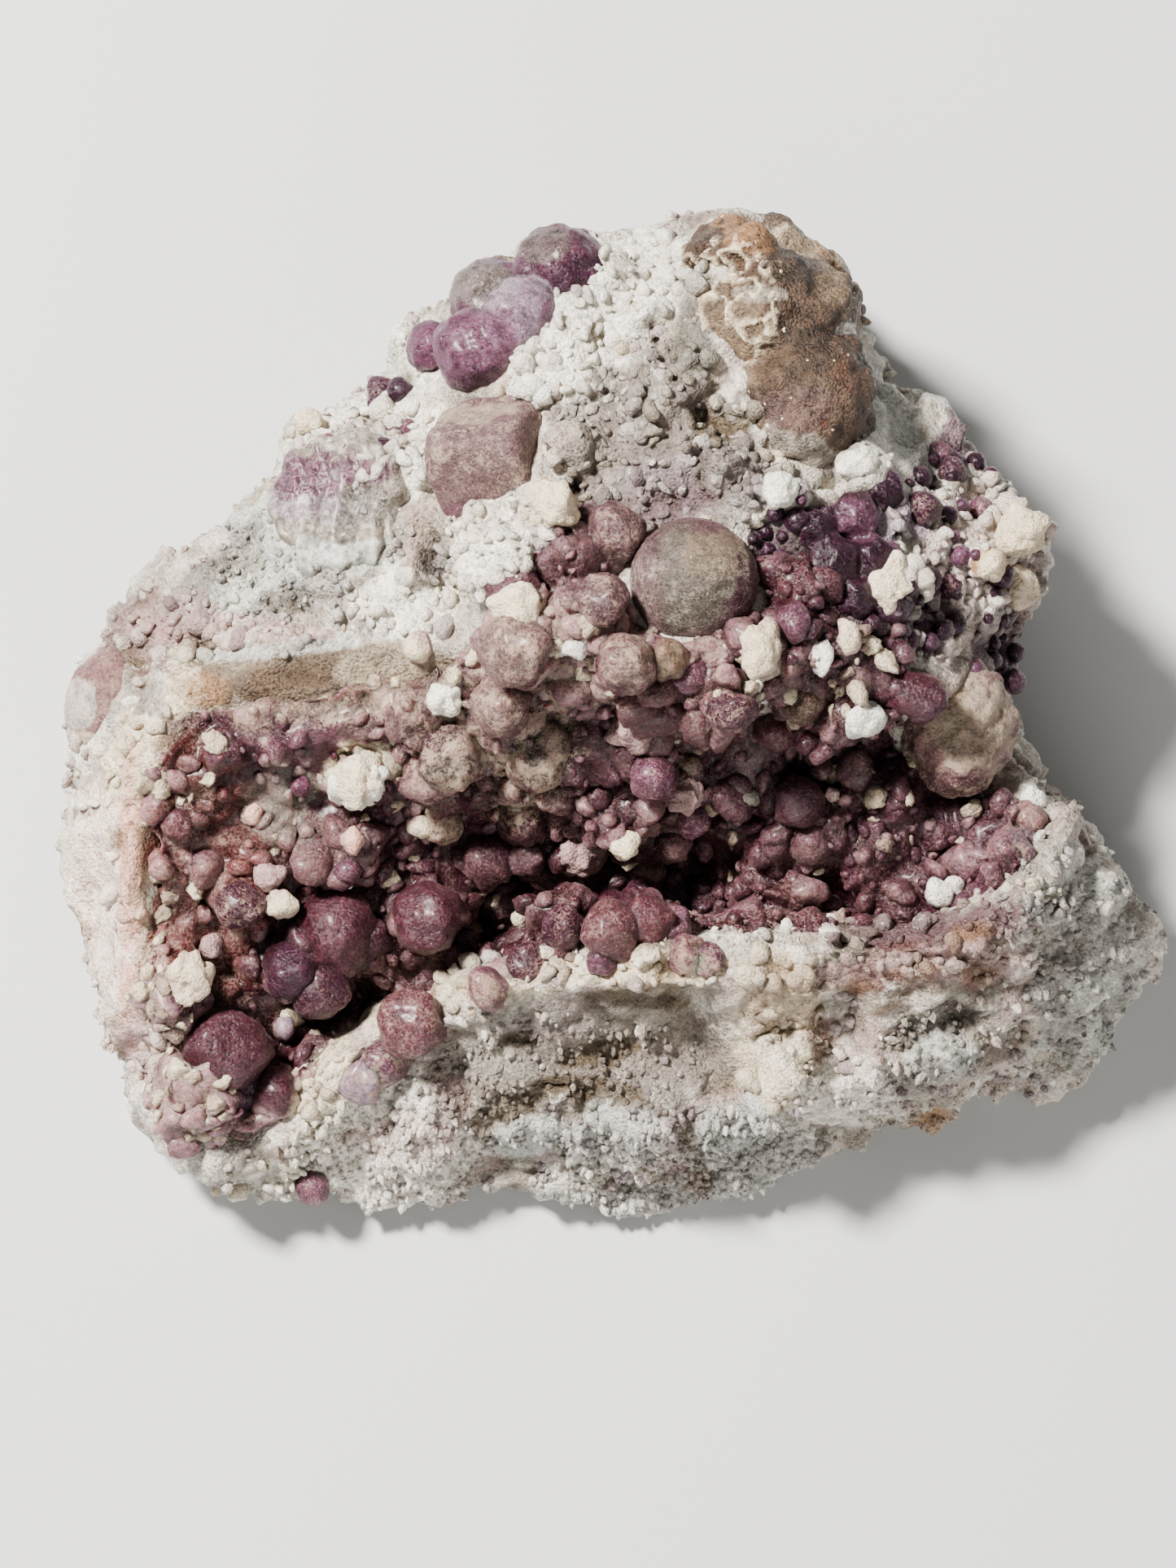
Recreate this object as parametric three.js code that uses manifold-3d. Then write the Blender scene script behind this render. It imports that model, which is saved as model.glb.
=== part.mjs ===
// A hand specimen of fluorite with quartz: a lump of pale massive quartz, broken open along one
// hollow that is lined with purple fluorite balls, with larger single crystals on its face.
//
// The show face is modelled as a relief. Its own frame has U to the right, V up the face and
// height out of it, in millimetres. The finished face then leans back on a level cut base.

import * as THREE from "three";
import { ImprovedNoise } from "three/addons/math/ImprovedNoise.js";
import { mergeVertices } from "three/addons/utils/BufferGeometryUtils.js";
import Module from "manifold-3d";

const wasm = await Module();
wasm.setup();

// Driving dimensions, in millimetres and degrees.
const LEAN_DEG = 15; // how far the face is turned up from the level base
const FACE_WIDTH = 64; // the sheet that the relief is drawn on
const FACE_LENGTH = 60;
const CELL = 2; // spacing of the relief's points
const DEEP = 30; // how far the uncut block reaches below the face plane
const WIDEST_HEIGHT = 11; // where the sides bulge out to the outline
const WALL_STEPS = 66; // points around the sides
const SIDE_ROUGHNESS = 0.14; // in and out of the sides, as a share of their distance
const SIDE_LUMP_LENGTH = 6;
const ROUGH_FROM = 9; // full roughness is reached this far above or below the widest height
const LUMP_HEIGHT = 0.7; // broad unevenness of the rock
const LUMP_LENGTH = 4.5;
const KNOB_SPACING = 3.9; // rounded quartz knobs that cover the rock outside the hollow
const KNOB_RADIUS = 2.6;
const KNOB_HEIGHT = 1.1;
const TURN_OF_EACH = 50; // degrees between one ball of a cluster and the next
const CLEARANCE = 0.5; // gap between the rock and what sits on it, measured straight out
const CRUST_THICKNESS = 1.1; // the fluorite sheet between the balls
const CRUST_SPACING = 5.7; // between the balls of the crust
const CRUST_BALL = [2, 2.9]; // smallest and largest radius

// The specimen's outline as the face is looked at, round from the top.
const OUTLINE = [
  [3.8, 27.9], [6.7, 28.1], [10.4, 27.3], [12.7, 24.7],
  [13.4, 22.0], [14.3, 19.1], [15.8, 18.0], [19.1, 16.0],
  [20.4, 13.3], [22.7, 11.8], [23.9, 10.0], [23.5, 7.3],
  [22.1, 4.7], [21.8, 2.4], [21.6, -1.8], [23.8, -3.2],
  [26.0, -5.6], [27.3, -8.0], [30.0, -11.5], [29.2, -14.7], [28.1, -16.7], [27.5, -18.9], [24.4, -20.4],
  [20.7, -20.5], [17.8, -23.0], [14.4, -22.1], [13.1, -24.0], [10.0, -24.1], [7.8, -26.1], [1.1, -28.1],
  [0.0, -26.6], [-2.7, -25.7], [-7.1, -25.1], [-12.0, -27.2], [-15.6, -25.6], [-20.9, -26.1], [-22.7, -24.4],
  [-25.7, -22.1], [-26.4, -18.0], [-27.8, -14.4], [-29.0, -11.1],
  [-30.0, -6.2], [-29.9, -2.9], [-29.0, -1.1],
  [-29.6, 1.0], [-28.5, 3.6], [-25.3, 8.2], [-19.8, 11.5], [-17.6, 14.2], [-17.0, 16.4], [-14.1, 17.9],
  [-11.8, 19.3], [-10.9, 21.8], [-8.9, 22.4], [-7.3, 24.5], [-4.4, 26.7], [-0.7, 26.3], [2.9, 26.7],
];

// The side profile from the top down: share of the outline, and height. The rock draws in above and below.
const SIDE_PROFILE = [
  [0, 32], [0.9, 32], [0.985, 17], [1, WIDEST_HEIGHT], [0.99, 6],
  [0.95, 1], [0.88, -5], [0.76, -12], [0, -12],
];

// Lines over the face that set its shape, each point as U, V and height.
const FORM_LINES = {
  browOverHollow: [
    [-8.2, 3.9, 22], [-4.7, 4.9, 23.5], [-1.3, 4.3, 24.5], [2.1, 3.8, 25.5], [4.7, 4.3, 26], [8.1, 3.9, 25],
    [11.2, 3.9, 24], [14.7, 3.0, 22.5], [17.8, 3.7, 19.5],
  ],
  hollowFloor: [
    [-20.1, -18.3, 10.5], [-16.6, -16.6, 9], [-12.6, -15.3, 8], [-8.6, -13.1, 7.5], [-5.0, -10.8, 7],
    [-1.3, -8.8, 8], [2.2, -8.1, 9], [5.8, -9.8, 9.5], [9.4, -10.5, 10.5], [13.4, -10.5, 11.5],
    [16.9, -9.5, 12.5], [19.9, -7.7, 14],
  ],
  hollowUpperWall: [
    [-6.6, -1.7, 17.5], [-2.6, -1.8, 17], [1.3, -1.8, 16.5], [5.7, -2.6, 15.5], [11.0, -3.1, 14.5],
    [15.0, -1.8, 14], [17.7, -3.5, 14.5],
  ],
  lowerRim: [
    [-20.0, -23.7, 12.5], [-16.6, -21.0, 14], [-15.0, -18.5, 15.5],
    [-12.9, -16.0, 16.5], [-10.1, -15.1, 17.5],
    [-7.9, -14.2, 18.5], [-4.8, -13.5, 19.5], [-0.4, -13.0, 20], [5.6, -12.1, 20.5], [9.1, -11.7, 21],
    [13.4, -11.7, 21], [17.3, -11.5, 21], [20.8, -10.4, 21], [23.2, -8.3, 20], [23.6, -5.7, 18.5],
    [22.4, -3.7, 17],
  ],
  frontWall: [
    [-12.0, -22.7, 12], [-6.6, -19.4, 14.5], [0.4, -19.4, 15], [6.6, -18.9, 15.5], [12.7, -17.6, 16],
    [18.9, -16.7, 16], [23.7, -14.5, 16], [26.4, -11.5, 15],
  ],
  leftWall: [
    [-23.3, 1.3, 18.5], [-24.4, -1.1, 19], [-26.2, -3.1, 18.5], [-26.7, -7.0, 17.5], [-25.7, -11.4, 16.5],
    [-24.9, -15.8, 15.5], [-24.0, -19.9, 14.5], [-22.6, -22.6, 13.5],
  ],
  hollowLeftSlope: [[-21.6, -4.8, 15], [-22.2, -10.2, 13], [-21.3, -13.8, 12]],
  hollowMidSlope: [[-18.0, -5.3, 15.5], [-14.5, -4.4, 15], [-11.0, -3.5, 16]],
  hollowLowSlope: [[-16.4, -8.9, 12.5], [-11.1, -7.5, 12.5], [-7.1, -6.7, 12]],
  ledgeEdge: [
    [-23.3, 1.7, 18.5], [-19.6, 3.0, 19.5], [-15.2, 4.3, 20.5], [-11.7, 4.1, 20.5],
    [-8.2, 2.8, 21],
  ],
  ledgeFace: [[-18.3, 0.4, 18.5], [-13.1, 0.4, 19], [-8.3, -0.4, 18.5]],
  behindLedge: [
    [-24.7, 4.4, 14], [-22.1, 4.2, 14.5], [-18.5, 5.5, 16], [-14.0, 6.6, 17.5],
    [-10.4, 6.3, 19.5],
  ],
  upperLeft: [
    [-26.6, 4.0, 12.5], [-22.1, 8.4, 14], [-18.5, 10.6, 14.5], [-15.3, 11.8, 16],
    [-11.8, 12.7, 17.5],
  ],
  upperLeftInner: [[-16.2, 8.3, 16.5], [-13.1, 9.2, 17.5], [-10.0, 10.9, 17.5]],
  knobMound: [[-6.5, 9.1, 22], [-3.0, 10.8, 22.5], [-4.3, 6.5, 23], [-6.9, 6.0, 22.5]],
  clefts: [[-9.3, 8.7, 18.5], [-8.9, 6.5, 19]],
  upperCrest: [
    [-14.1, 16.8, 14], [-10.1, 17.1, 16], [-6.6, 17.9, 18],
    [-2.2, 19.1, 20], [1.3, 21.2, 20.5], [4.3, 19.4, 22],
  ],
  topSlope: [[-3.1, 21.4, 18], [0.4, 24.0, 18]],
  crystalSeat: [[-6.1, 13.8, 18]],
  centreSlope: [
    [-2.2, 13.4, 21.5], [0.4, 14.2, 22], [4.3, 14.2, 22.5],
    [1.3, 9.9, 23.5], [4.3, 7.3, 24], [6.5, 11.6, 23],
    [9.0, 10.3, 23],
  ],
  underCap: [[6.6, 23.6, 18], [11.0, 22.3, 17], [8.7, 18.2, 20], [12.2, 16.2, 18]],
  rightShoulder: [
    [15.3, 14.4, 17.5], [13.0, 11.7, 21], [15.1, 8.2, 21.5],
    [17.4, 10.9, 19], [19.7, 8.3, 18], [18.8, 5.2, 18.5],
  ],
  edge: [
    [3.8, 27.3, 13], [10.4, 26.7, 12], [13.3, 21.8, 12],
    [14.6, 18.2, 13], [19.9, 13.7, 13], [23.3, 9.3, 12.5],
    [21.3, 3.1, 13], [21.1, -1.8, 13], [25.7, -6.2, 13.5], [29.5, -12.1, 10.5], [27.3, -18.4, 9.5],
    [21.1, -20.2, 9], [17.5, -22.7, 8.5], [13.0, -23.8, 8.5],
    [7.6, -25.8, 8.5], [1.1, -27.9, 8], [-2.7, -25.3, 9],
    [-7.2, -24.9, 9], [-12.1, -26.9, 8.5], [-15.7, -25.3, 9.5], [-20.8, -25.7, 10.5], [-25.4, -21.8, 11],
    [-27.3, -14.2, 12], [-29.2, -6.6, 13], [-28.9, 0.4, 11.5], [-25.1, 7.6, 11.5], [-19.6, 11.1, 12],
    [-16.9, 16.0, 11.5], [-11.6, 18.9, 12], [-7.1, 24.0, 12],
    [-4.4, 26.2, 12], [-0.7, 25.8, 13], [3.8, 27.3, 13],
  ],
};
const LINE_STEP = 1.5; // the lines are filled in with points this far apart
const LINE_SOFTNESS = 0.8; // how rounded the rock is along a line

// Where the fluorite crust covers the hollow and its brow.
const CRUST_OUTLINE = [
  [-22.9, 0.0], [-18.5, 1.2], [-12.5, 1.5], [-8.8, 3.0], [-6.0, 5.6], [-1.5, 7.2], [1.0, 10.5], [6.5, 9.8],
  [10.5, 6.6], [15.5, 4.5], [17.0, 1.0], [20.0, -3.4],
  [22.2, -4.6], [22.4, -7.6], [20.0, -9.6], [13.4, -10.8],
  [5.6, -11.3], [-0.4, -12.1], [-4.8, -12.7], [-8.6, -13.6], [-11.0, -14.4], [-13.6, -15.4], [-15.8, -18.2],
  [-18.0, -21.6], [-21.0, -22.4], [-23.2, -19.5], [-24.0, -14.5], [-24.8, -9.0], [-24.6, -4.0],
];

const CRUST_PROFILE = [[0, 40], [1, 40], [1, -5], [0, -5]]; // straight down through the rock
const CRUST_STEPS = 36;

// The larger balls of the crust, each as U, V, height and radius.
const CRUST_FEATURES = [
  [-15.1, -11.6, 11.6, 2.4], [-16.0, -14.0, 10.8, 1.9], [-13.6, -13.1, 11.0, 1.9], // trio low in the hollow
  [-9.8, -10.6, 12.8, 2.1], // lone ball beside it
  [-21.1, -17.8, 12.2, 2.4], // ball in the lower left corner
  [-10.9, -15.2, 18.0, 1.9], // on the rim
  [-2.6, -11.0, 16.2, 1.9], [0.8, -11.2, 18.0, 1.9], // chain below the dark gap
  [-1.0, 5.4, 25.0, 2.6], [1.5, 3.4, 25.2, 2.3], [-2.0, 8.3, 24.0, 2.3], [-5.7, 0.6, 20.0, 2.5], // brow
  [-9.3, -1.6, 18.2, 2.2],
];

// The largest white and cream knobs of quartz, each as U, V and radius.
const QUARTZ_KNOBS = [
  [-5.6, 8.2, 2.4], [-3.6, 10.9, 1.6], [-4.7, 6.2, 1.3],
  [8.0, 3.6, 1.5], [-2.2, 14.9, 1.3], [9.2, 12.4, 1.2],
  [13.3, 13.4, 1.2], [22.0, 10.4, 1.8], [22.1, 7.4, 1.7],
  [15.3, 7.4, 1.1], [19.6, 8.9, 1.1], [-16.2, 15.9, 1.2],
  [-3.6, 26.2, 1.0], [26.2, -9.4, 1.8], [24.4, -6.0, 1.5], [-21.4, -23.4, 1.6],
];

// Fluorite crystals of the top edge and of the right shoulder, each as U, V, height and radius.
const TOP_CLUSTER = [
  [-2.7, 24.2, 17.4, 2.6], [-4.8, 21.6, 19.2, 2.2], [-7.0, 20.0, 18.2, 2.4], [-9.7, 20.4, 15.6, 1.5],
  [-6.4, 23.0, 14.6, 2.5],
];
const GRAPE_CLUSTER = [
  [12.9, 10.9, 22.6, 1.5], [14.4, 12.3, 21.2, 1.4], [10.6, 10.2, 23.6, 1.4], [11.7, 8.5, 23.8, 1.5],
  [13.7, 8.6, 23.0, 1.5], [14.8, 6.6, 22.8, 1.5], [16.7, 5.8, 21.0, 1.5], [12.8, 6.6, 23.6, 1.4],
];

const GREY_BALL = { at: [4.3, 7.4, 25.0], radius: 3.4 };
const RIGHT_BALL = { at: [18.7, -0.2, 16.8], radius: 2.9, stretch: [1, 1.22, 1] };
const LEFT_BALL = { at: [-27.0, 1.0, 12.6], radius: 2.3, stretch: [1, 1.1, 1] };
const PINK_CRYSTAL = { at: [-6.2, 13.9, 19.8], side: 5.3, corner: 6.5, turn: [0.5, -0.45, 0.12] };
const CLEAVED_CRYSTAL = { at: [-14.1, 11.4, 17.3], radius: 4.1, cut: 2.1, facing: [-0.25, 0.3, 1] };

// The lumps of the stained cap, each with its half sizes.
const STAINED_CAP = [
  { at: [10.5, 17.3, 18.6], size: [4.0, 4.4, 5.4], turnDeg: 20 },
  { at: [9.0, 21.7, 18.2], size: [3.7, 3.9, 5.0], turnDeg: 20 },
  { at: [11.4, 22.9, 17.2], size: [2.1, 2.6, 4.2], turnDeg: 30 },
  { at: [6.4, 25.2, 16.8], size: [2.7, 2.0, 3.9], turnDeg: 0 },
  { at: [6.2, 22.0, 17.8], size: [2.0, 2.6, 3.9], turnDeg: 10 },
  { at: [7.6, 25.7, 19.2], size: [1.6, 1.5, 1.6], turnDeg: 0 },
];

const noise = new ImprovedNoise();
const lean = THREE.MathUtils.degToRad(LEAN_DEG);

// A closed geometry as a solid that can be joined and cut.
function solidOf(geometry) {
  const bare = geometry.index ? geometry.toNonIndexed() : geometry.clone();
  bare.deleteAttribute("normal");
  bare.deleteAttribute("uv");
  const merged = mergeVertices(bare, 1e-4);
  const mesh = new wasm.Mesh({
    numProp: 3,
    vertProperties: merged.attributes.position.array,
    triVerts: new Uint32Array(merged.index.array),
  });
  return new wasm.Manifold(mesh);
}

// The largest body of a solid, without the crumbs that a cut can leave.
function largestBody(solid) {
  return solid.decompose().reduce((best, next) => (next.volume() > best.volume() ? next : best));
}

// A solid as a named mesh.
function meshOf(name, solid, material) {
  const { vertProperties, triVerts } = largestBody(solid).getMesh();
  const geometry = new THREE.BufferGeometry();
  geometry.setAttribute("position", new THREE.BufferAttribute(vertProperties, 3));
  geometry.setIndex(new THREE.BufferAttribute(triVerts, 1));
  geometry.computeVertexNormals();
  const mesh = new THREE.Mesh(geometry, material);
  mesh.name = name;
  return mesh;
}

// The points of a line, filled in at even steps.
function filledLine(points) {
  if (points.length === 1) return points.map((p) => new THREE.Vector3(...p));
  const path = new THREE.CurvePath();
  for (let i = 1; i < points.length; i++) {
    path.add(new THREE.LineCurve3(new THREE.Vector3(...points[i - 1]), new THREE.Vector3(...points[i])));
  }
  return path.getSpacedPoints(Math.ceil(path.getLength() / LINE_STEP));
}
const formPoints = Object.values(FORM_LINES).flatMap(filledLine);

// How high the bare rock stands: the mean of the form lines' heights, the nearest weighing most.
function faceHeight(u, v) {
  let heights = 0;
  let weights = 0;
  for (const point of formPoints) {
    const apart = (u - point.x) ** 2 + (v - point.y) ** 2 + LINE_SOFTNESS ** 2;
    const weight = 1 / apart ** 2;
    heights += weight * point.z;
    weights += weight;
  }
  const lumps = LUMP_HEIGHT * noise.noise(u / LUMP_LENGTH, v / LUMP_LENGTH, 0.5);
  const knobs = isInside(CRUST_OUTLINE, u, v) ? 0 : knobRelief(u, v);
  return heights / weights + lumps + knobs;
}

// Rounded knobs, one to each square of an uneven grid, as a height above the rock.
function knobRelief(u, v) {
  const column = Math.floor(u / KNOB_SPACING);
  const row = Math.floor(v / KNOB_SPACING);
  let highest = 0;
  for (let i = column - 1; i <= column + 1; i++) {
    for (let j = row - 1; j <= row + 1; j++) {
      const centreU = (i + 0.5 + 0.6 * noise.noise(i * 1.7, j * 2.3, 4.1)) * KNOB_SPACING;
      const centreV = (j + 0.5 + 0.6 * noise.noise(i * 2.9, j * 1.3, 8.7)) * KNOB_SPACING;
      const apart = ((u - centreU) ** 2 + (v - centreV) ** 2) / KNOB_RADIUS ** 2;
      highest = Math.max(highest, 1 - apart);
    }
  }
  return KNOB_HEIGHT * highest;
}

// The block below the relief, with its top lifted by some distance.
function reliefBlock(lift) {
  const block = new THREE.BoxGeometry(
    FACE_WIDTH, FACE_LENGTH, 2, Math.round(FACE_WIDTH / CELL), Math.round(FACE_LENGTH / CELL), 1,
  );
  const position = block.attributes.position;
  for (let i = 0; i < position.count; i++) {
    const onTop = position.getZ(i) > 0;
    position.setZ(i, onTop ? faceHeight(position.getX(i), position.getY(i)) + lift : -DEEP);
  }
  return solidOf(block);
}

// A closed form whose cross-section is the outline, drawn in and out by a profile of share and height.
function outlineForm(outline, profile, steps, roughness) {
  const curve = new THREE.SplineCurve([...outline, outline[0]].map(([u, v]) => new THREE.Vector2(u, v)));
  const rings = profile.map(([share, height]) => new THREE.Vector2(share, height));
  const form = new THREE.LatheGeometry(rings, steps);
  const { position, uv } = form.attributes;
  for (let i = 0; i < position.count; i++) {
    const height = position.getY(i);
    const share = Math.hypot(position.getX(i), position.getZ(i));
    const turn = uv.getX(i) % 1;
    const point = curve.getPointAt(turn);
    const lump = noise.noise(...[point.x, point.y, height].map((along) => along / SIDE_LUMP_LENGTH));
    const fromWidest = Math.min(1, Math.abs(height - WIDEST_HEIGHT) / ROUGH_FROM);
    const rough = share * (1 + roughness * fromWidest * lump);
    position.setXYZ(i, point.x * rough, point.y * rough, height);
  }
  return solidOf(form);
}

// A ball of flat facets, stretched and made a little uneven. With no detail it has twelve sides.
function ball(at, radius, { detail = 1, stretch = [1, 1, 1], uneven = 0.04, turnDeg = 0 } = {}) {
  const Form = detail > 0 ? THREE.IcosahedronGeometry : THREE.DodecahedronGeometry;
  const geometry = new Form(radius, detail).scale(...stretch);
  const position = geometry.attributes.position;
  const point = new THREE.Vector3();
  for (let i = 0; i < position.count; i++) {
    point.fromBufferAttribute(position, i);
    const bump = noise.noise(point.x / radius + at[0], point.y / radius + at[1], point.z / radius + at[2]);
    point.multiplyScalar(1 + uneven * bump);
    position.setXYZ(i, point.x, point.y, point.z);
  }
  geometry.rotateZ(THREE.MathUtils.degToRad(turnDeg)).translate(...at);
  return solidOf(geometry);
}

// Several balls grown into one.
function cluster(balls, grow = 0, detail = 1) {
  const grown = balls.map(([u, v, height, radius], i) =>
    ball([u, v, height], radius + grow, { detail, turnDeg: TURN_OF_EACH * i }),
  );
  return wasm.Manifold.union(grown);
}

// A cube with its corners cut by an octahedron, as fluorite grows, turned in its seat.
function cornerCutCube({ at, side, corner, turn }, grow = 0) {
  const full = side + 2 * grow;
  const cube = new THREE.BoxGeometry(full, full, full).rotateX(turn[0]).rotateY(turn[1]).rotateZ(turn[2]);
  const octahedron = new THREE.OctahedronGeometry(corner + 1.7 * grow);
  octahedron.rotateX(turn[0]).rotateY(turn[1]).rotateZ(turn[2]);
  return solidOf(cube.translate(...at)).intersect(solidOf(octahedron.translate(...at)));
}

// A ball split along one flat cleavage plane.
function cleavedBall({ at, radius, cut, facing }, grow = 0) {
  const reach = 4 * radius;
  const keep = new THREE.BoxGeometry(reach, reach, reach).translate(0, 0, cut + grow - reach / 2);
  const turn = new THREE.Quaternion().setFromUnitVectors(
    new THREE.Vector3(0, 0, 1), new THREE.Vector3(...facing).normalize(),
  );
  keep.applyQuaternion(turn).translate(...at);
  return ball(at, radius + grow, { detail: 2 }).intersect(solidOf(keep));
}

// The stained cap: a long lump with smaller ones around it.
function stainedCap(grow = 0) {
  const lumps = STAINED_CAP.map(({ at, size, turnDeg }) =>
    ball(at, 1, { stretch: size.map((half) => half + grow), uneven: 0.1, turnDeg }),
  );
  return wasm.Manifold.union(lumps);
}

// True inside a closed outline.
function isInside(outline, u, v) {
  let inside = false;
  outline.forEach(([u1, v1], i) => {
    const [u0, v0] = outline[(i + outline.length - 1) % outline.length];
    if (v1 > v !== v0 > v && u < ((u0 - u1) * (v - v1)) / (v0 - v1) + u1) inside = !inside;
  });
  return inside;
}

// The crust's balls: rows of them, each shifted and sized by noise, then the larger ones.
function crustBalls() {
  const balls = [];
  const rowStep = CRUST_SPACING * Math.sin(Math.PI / 3);
  let row = 0;
  for (let v = -24; v < 12; v += rowStep) {
    row += 1;
    for (let u = -27; u < 25; u += CRUST_SPACING) {
      const wander = noise.noise(u * 0.37, v * 0.41, 3.3) * CRUST_SPACING;
      const atU = u + (row % 2) * CRUST_SPACING * 0.5 + wander;
      const atV = v + noise.noise(u * 0.43, v * 0.31, 9.1) * CRUST_SPACING;
      if (!isInside(CRUST_OUTLINE, atU, atV)) continue;
      const size = THREE.MathUtils.clamp(0.5 + noise.noise(u * 0.9, v * 0.8, 5.7), 0, 1);
      const radius = THREE.MathUtils.lerp(...CRUST_BALL, size);
      balls.push([atU, atV, faceHeight(atU, atV) + 0.35 * radius + 0.4, radius]);
    }
  }
  return cluster(balls, 0, 0).add(cluster(CRUST_FEATURES));
}

const quartz = new THREE.MeshStandardMaterial({ color: 0xc9c2b8, roughness: 0.75 });
const purpleFluorite = new THREE.MeshStandardMaterial({ color: 0x6b4256, roughness: 0.5 });
const darkFluorite = new THREE.MeshStandardMaterial({ color: 0x4a2340, roughness: 0.45 });
const greyFluorite = new THREE.MeshStandardMaterial({ color: 0x8d827f, roughness: 0.55 });
const pinkFluorite = new THREE.MeshStandardMaterial({ color: 0xa3827c, roughness: 0.55 });
const clearFluorite = new THREE.MeshStandardMaterial({ color: 0xb7b2b4, roughness: 0.35 });
const brownQuartz = new THREE.MeshStandardMaterial({ color: 0x9c7c62, roughness: 0.7 });

// The rock: the relief, kept inside the outline and above the cut base, with its knobs.
const sides = outlineForm(OUTLINE, SIDE_PROFILE, WALL_STEPS, SIDE_ROUGHNESS);
const aboveBase = solidOf(new THREE.BoxGeometry(200, 200, 100).translate(0, 0, 50).rotateX(-lean));
const knobs = (grow) =>
  cluster(QUARTZ_KNOBS.map(([u, v, radius]) => [u, v, faceHeight(u, v) + 0.3 * radius, radius]), grow, 0);
const rock = reliefBlock(0).add(knobs(0)).intersect(sides).intersect(aboveBase);
const rockRoom = reliefBlock(CLEARANCE).add(knobs(CLEARANCE)); // what everything else stays out of

// The single crystals and lumps, each made at its own size or grown by a clearance.
const balls = {
  grey_fluorite_ball: [GREY_BALL, {}, greyFluorite],
  right_fluorite_ball: [RIGHT_BALL, { stretch: RIGHT_BALL.stretch, uneven: 0.08 }, greyFluorite],
  left_fluorite_ball: [LEFT_BALL, { stretch: LEFT_BALL.stretch, uneven: 0.1 }, clearFluorite],
};
const crystals = Object.entries(balls).map(([name, [{ at, radius }, form, material]]) => ({
  name,
  material,
  make: (grow) => ball(at, radius + grow, { detail: 2, ...form }),
}));
crystals.push(
  {
    name: "pink_fluorite_crystal",
    material: pinkFluorite,
    make: (grow) => cornerCutCube(PINK_CRYSTAL, grow),
  },
  {
    name: "cleaved_fluorite_crystal",
    material: clearFluorite,
    make: (grow) => cleavedBall(CLEAVED_CRYSTAL, grow),
  },
  { name: "top_fluorite_cluster", material: darkFluorite, make: (grow) => cluster(TOP_CLUSTER, grow) },
  { name: "fluorite_grape_cluster", material: darkFluorite, make: (grow) => cluster(GRAPE_CLUSTER, grow, 0) },
  { name: "stained_quartz_cap", material: brownQuartz, make: stainedCap },
);

// The crust: a sheet over the hollow with balls grown on it, clear of the rock and of each crystal.
const crustReach = outlineForm(CRUST_OUTLINE, CRUST_PROFILE, CRUST_STEPS, 0);
const crustSheet = reliefBlock(CLEARANCE + CRUST_THICKNESS).intersect(crustReach);
const crystalRooms = wasm.Manifold.union(crystals.map(({ make }) => make(CLEARANCE)));
const crust = crustSheet.add(crustBalls()).subtract(rockRoom).subtract(crystalRooms);

const face = new THREE.Group();
face.add(meshOf("quartz_matrix", rock, quartz));
face.add(meshOf("hollow_fluorite_crust", crust, purpleFluorite));
let taken = rockRoom;
for (const { name, material, make } of crystals) {
  face.add(meshOf(name, make(0).subtract(taken), material));
  taken = taken.add(make(CLEARANCE));
}
face.rotation.x = lean;

// The origin is below the middle of the specimen, on the surface that it rests on.
const specimen = new THREE.Group();
specimen.add(face);
specimen.updateMatrixWorld(true);
const box = new THREE.Box3().setFromObject(specimen, true);
const middle = box.getCenter(new THREE.Vector3());
face.position.set(-middle.x, -middle.y, -box.min.z);

export default specimen;
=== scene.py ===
"""Dresses a specimen of fluorite with quartz: rock, crust, crystals, light and camera."""

import logging
import math
from dataclasses import dataclass, field, replace
from enum import Enum
from itertools import product

import bmesh
import bpy
import numpy as np
from bpy.types import ID, Material, Mesh, Node, NodeSocket, NodeTree, Object, bpy_prop_collection
from mathutils import Matrix, Vector
from mathutils.bvhtree import BVHTree
from mathutils.kdtree import KDTree


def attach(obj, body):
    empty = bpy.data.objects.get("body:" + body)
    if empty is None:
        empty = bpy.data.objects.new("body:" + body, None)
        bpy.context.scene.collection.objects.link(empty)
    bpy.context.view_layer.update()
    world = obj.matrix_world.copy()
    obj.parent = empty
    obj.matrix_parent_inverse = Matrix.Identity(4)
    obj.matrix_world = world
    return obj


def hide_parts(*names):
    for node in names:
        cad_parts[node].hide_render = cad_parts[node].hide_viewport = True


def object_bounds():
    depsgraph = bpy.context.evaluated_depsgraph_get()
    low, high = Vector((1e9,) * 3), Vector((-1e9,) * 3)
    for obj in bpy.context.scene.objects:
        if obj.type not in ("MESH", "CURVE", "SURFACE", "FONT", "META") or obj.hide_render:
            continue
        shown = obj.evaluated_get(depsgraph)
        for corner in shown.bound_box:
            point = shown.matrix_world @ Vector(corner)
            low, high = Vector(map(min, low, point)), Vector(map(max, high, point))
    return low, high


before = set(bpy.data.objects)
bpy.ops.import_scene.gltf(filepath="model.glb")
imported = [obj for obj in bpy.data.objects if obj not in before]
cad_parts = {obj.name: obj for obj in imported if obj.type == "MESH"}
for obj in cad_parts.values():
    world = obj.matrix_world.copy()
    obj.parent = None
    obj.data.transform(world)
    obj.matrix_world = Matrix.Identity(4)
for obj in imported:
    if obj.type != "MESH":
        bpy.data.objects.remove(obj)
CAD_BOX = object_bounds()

log = logging.getLogger("specimen")

MM = 0.001
BODY = "root"
BOX_GIVE_MM = 0.5


# Numbers that repeat each run


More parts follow.
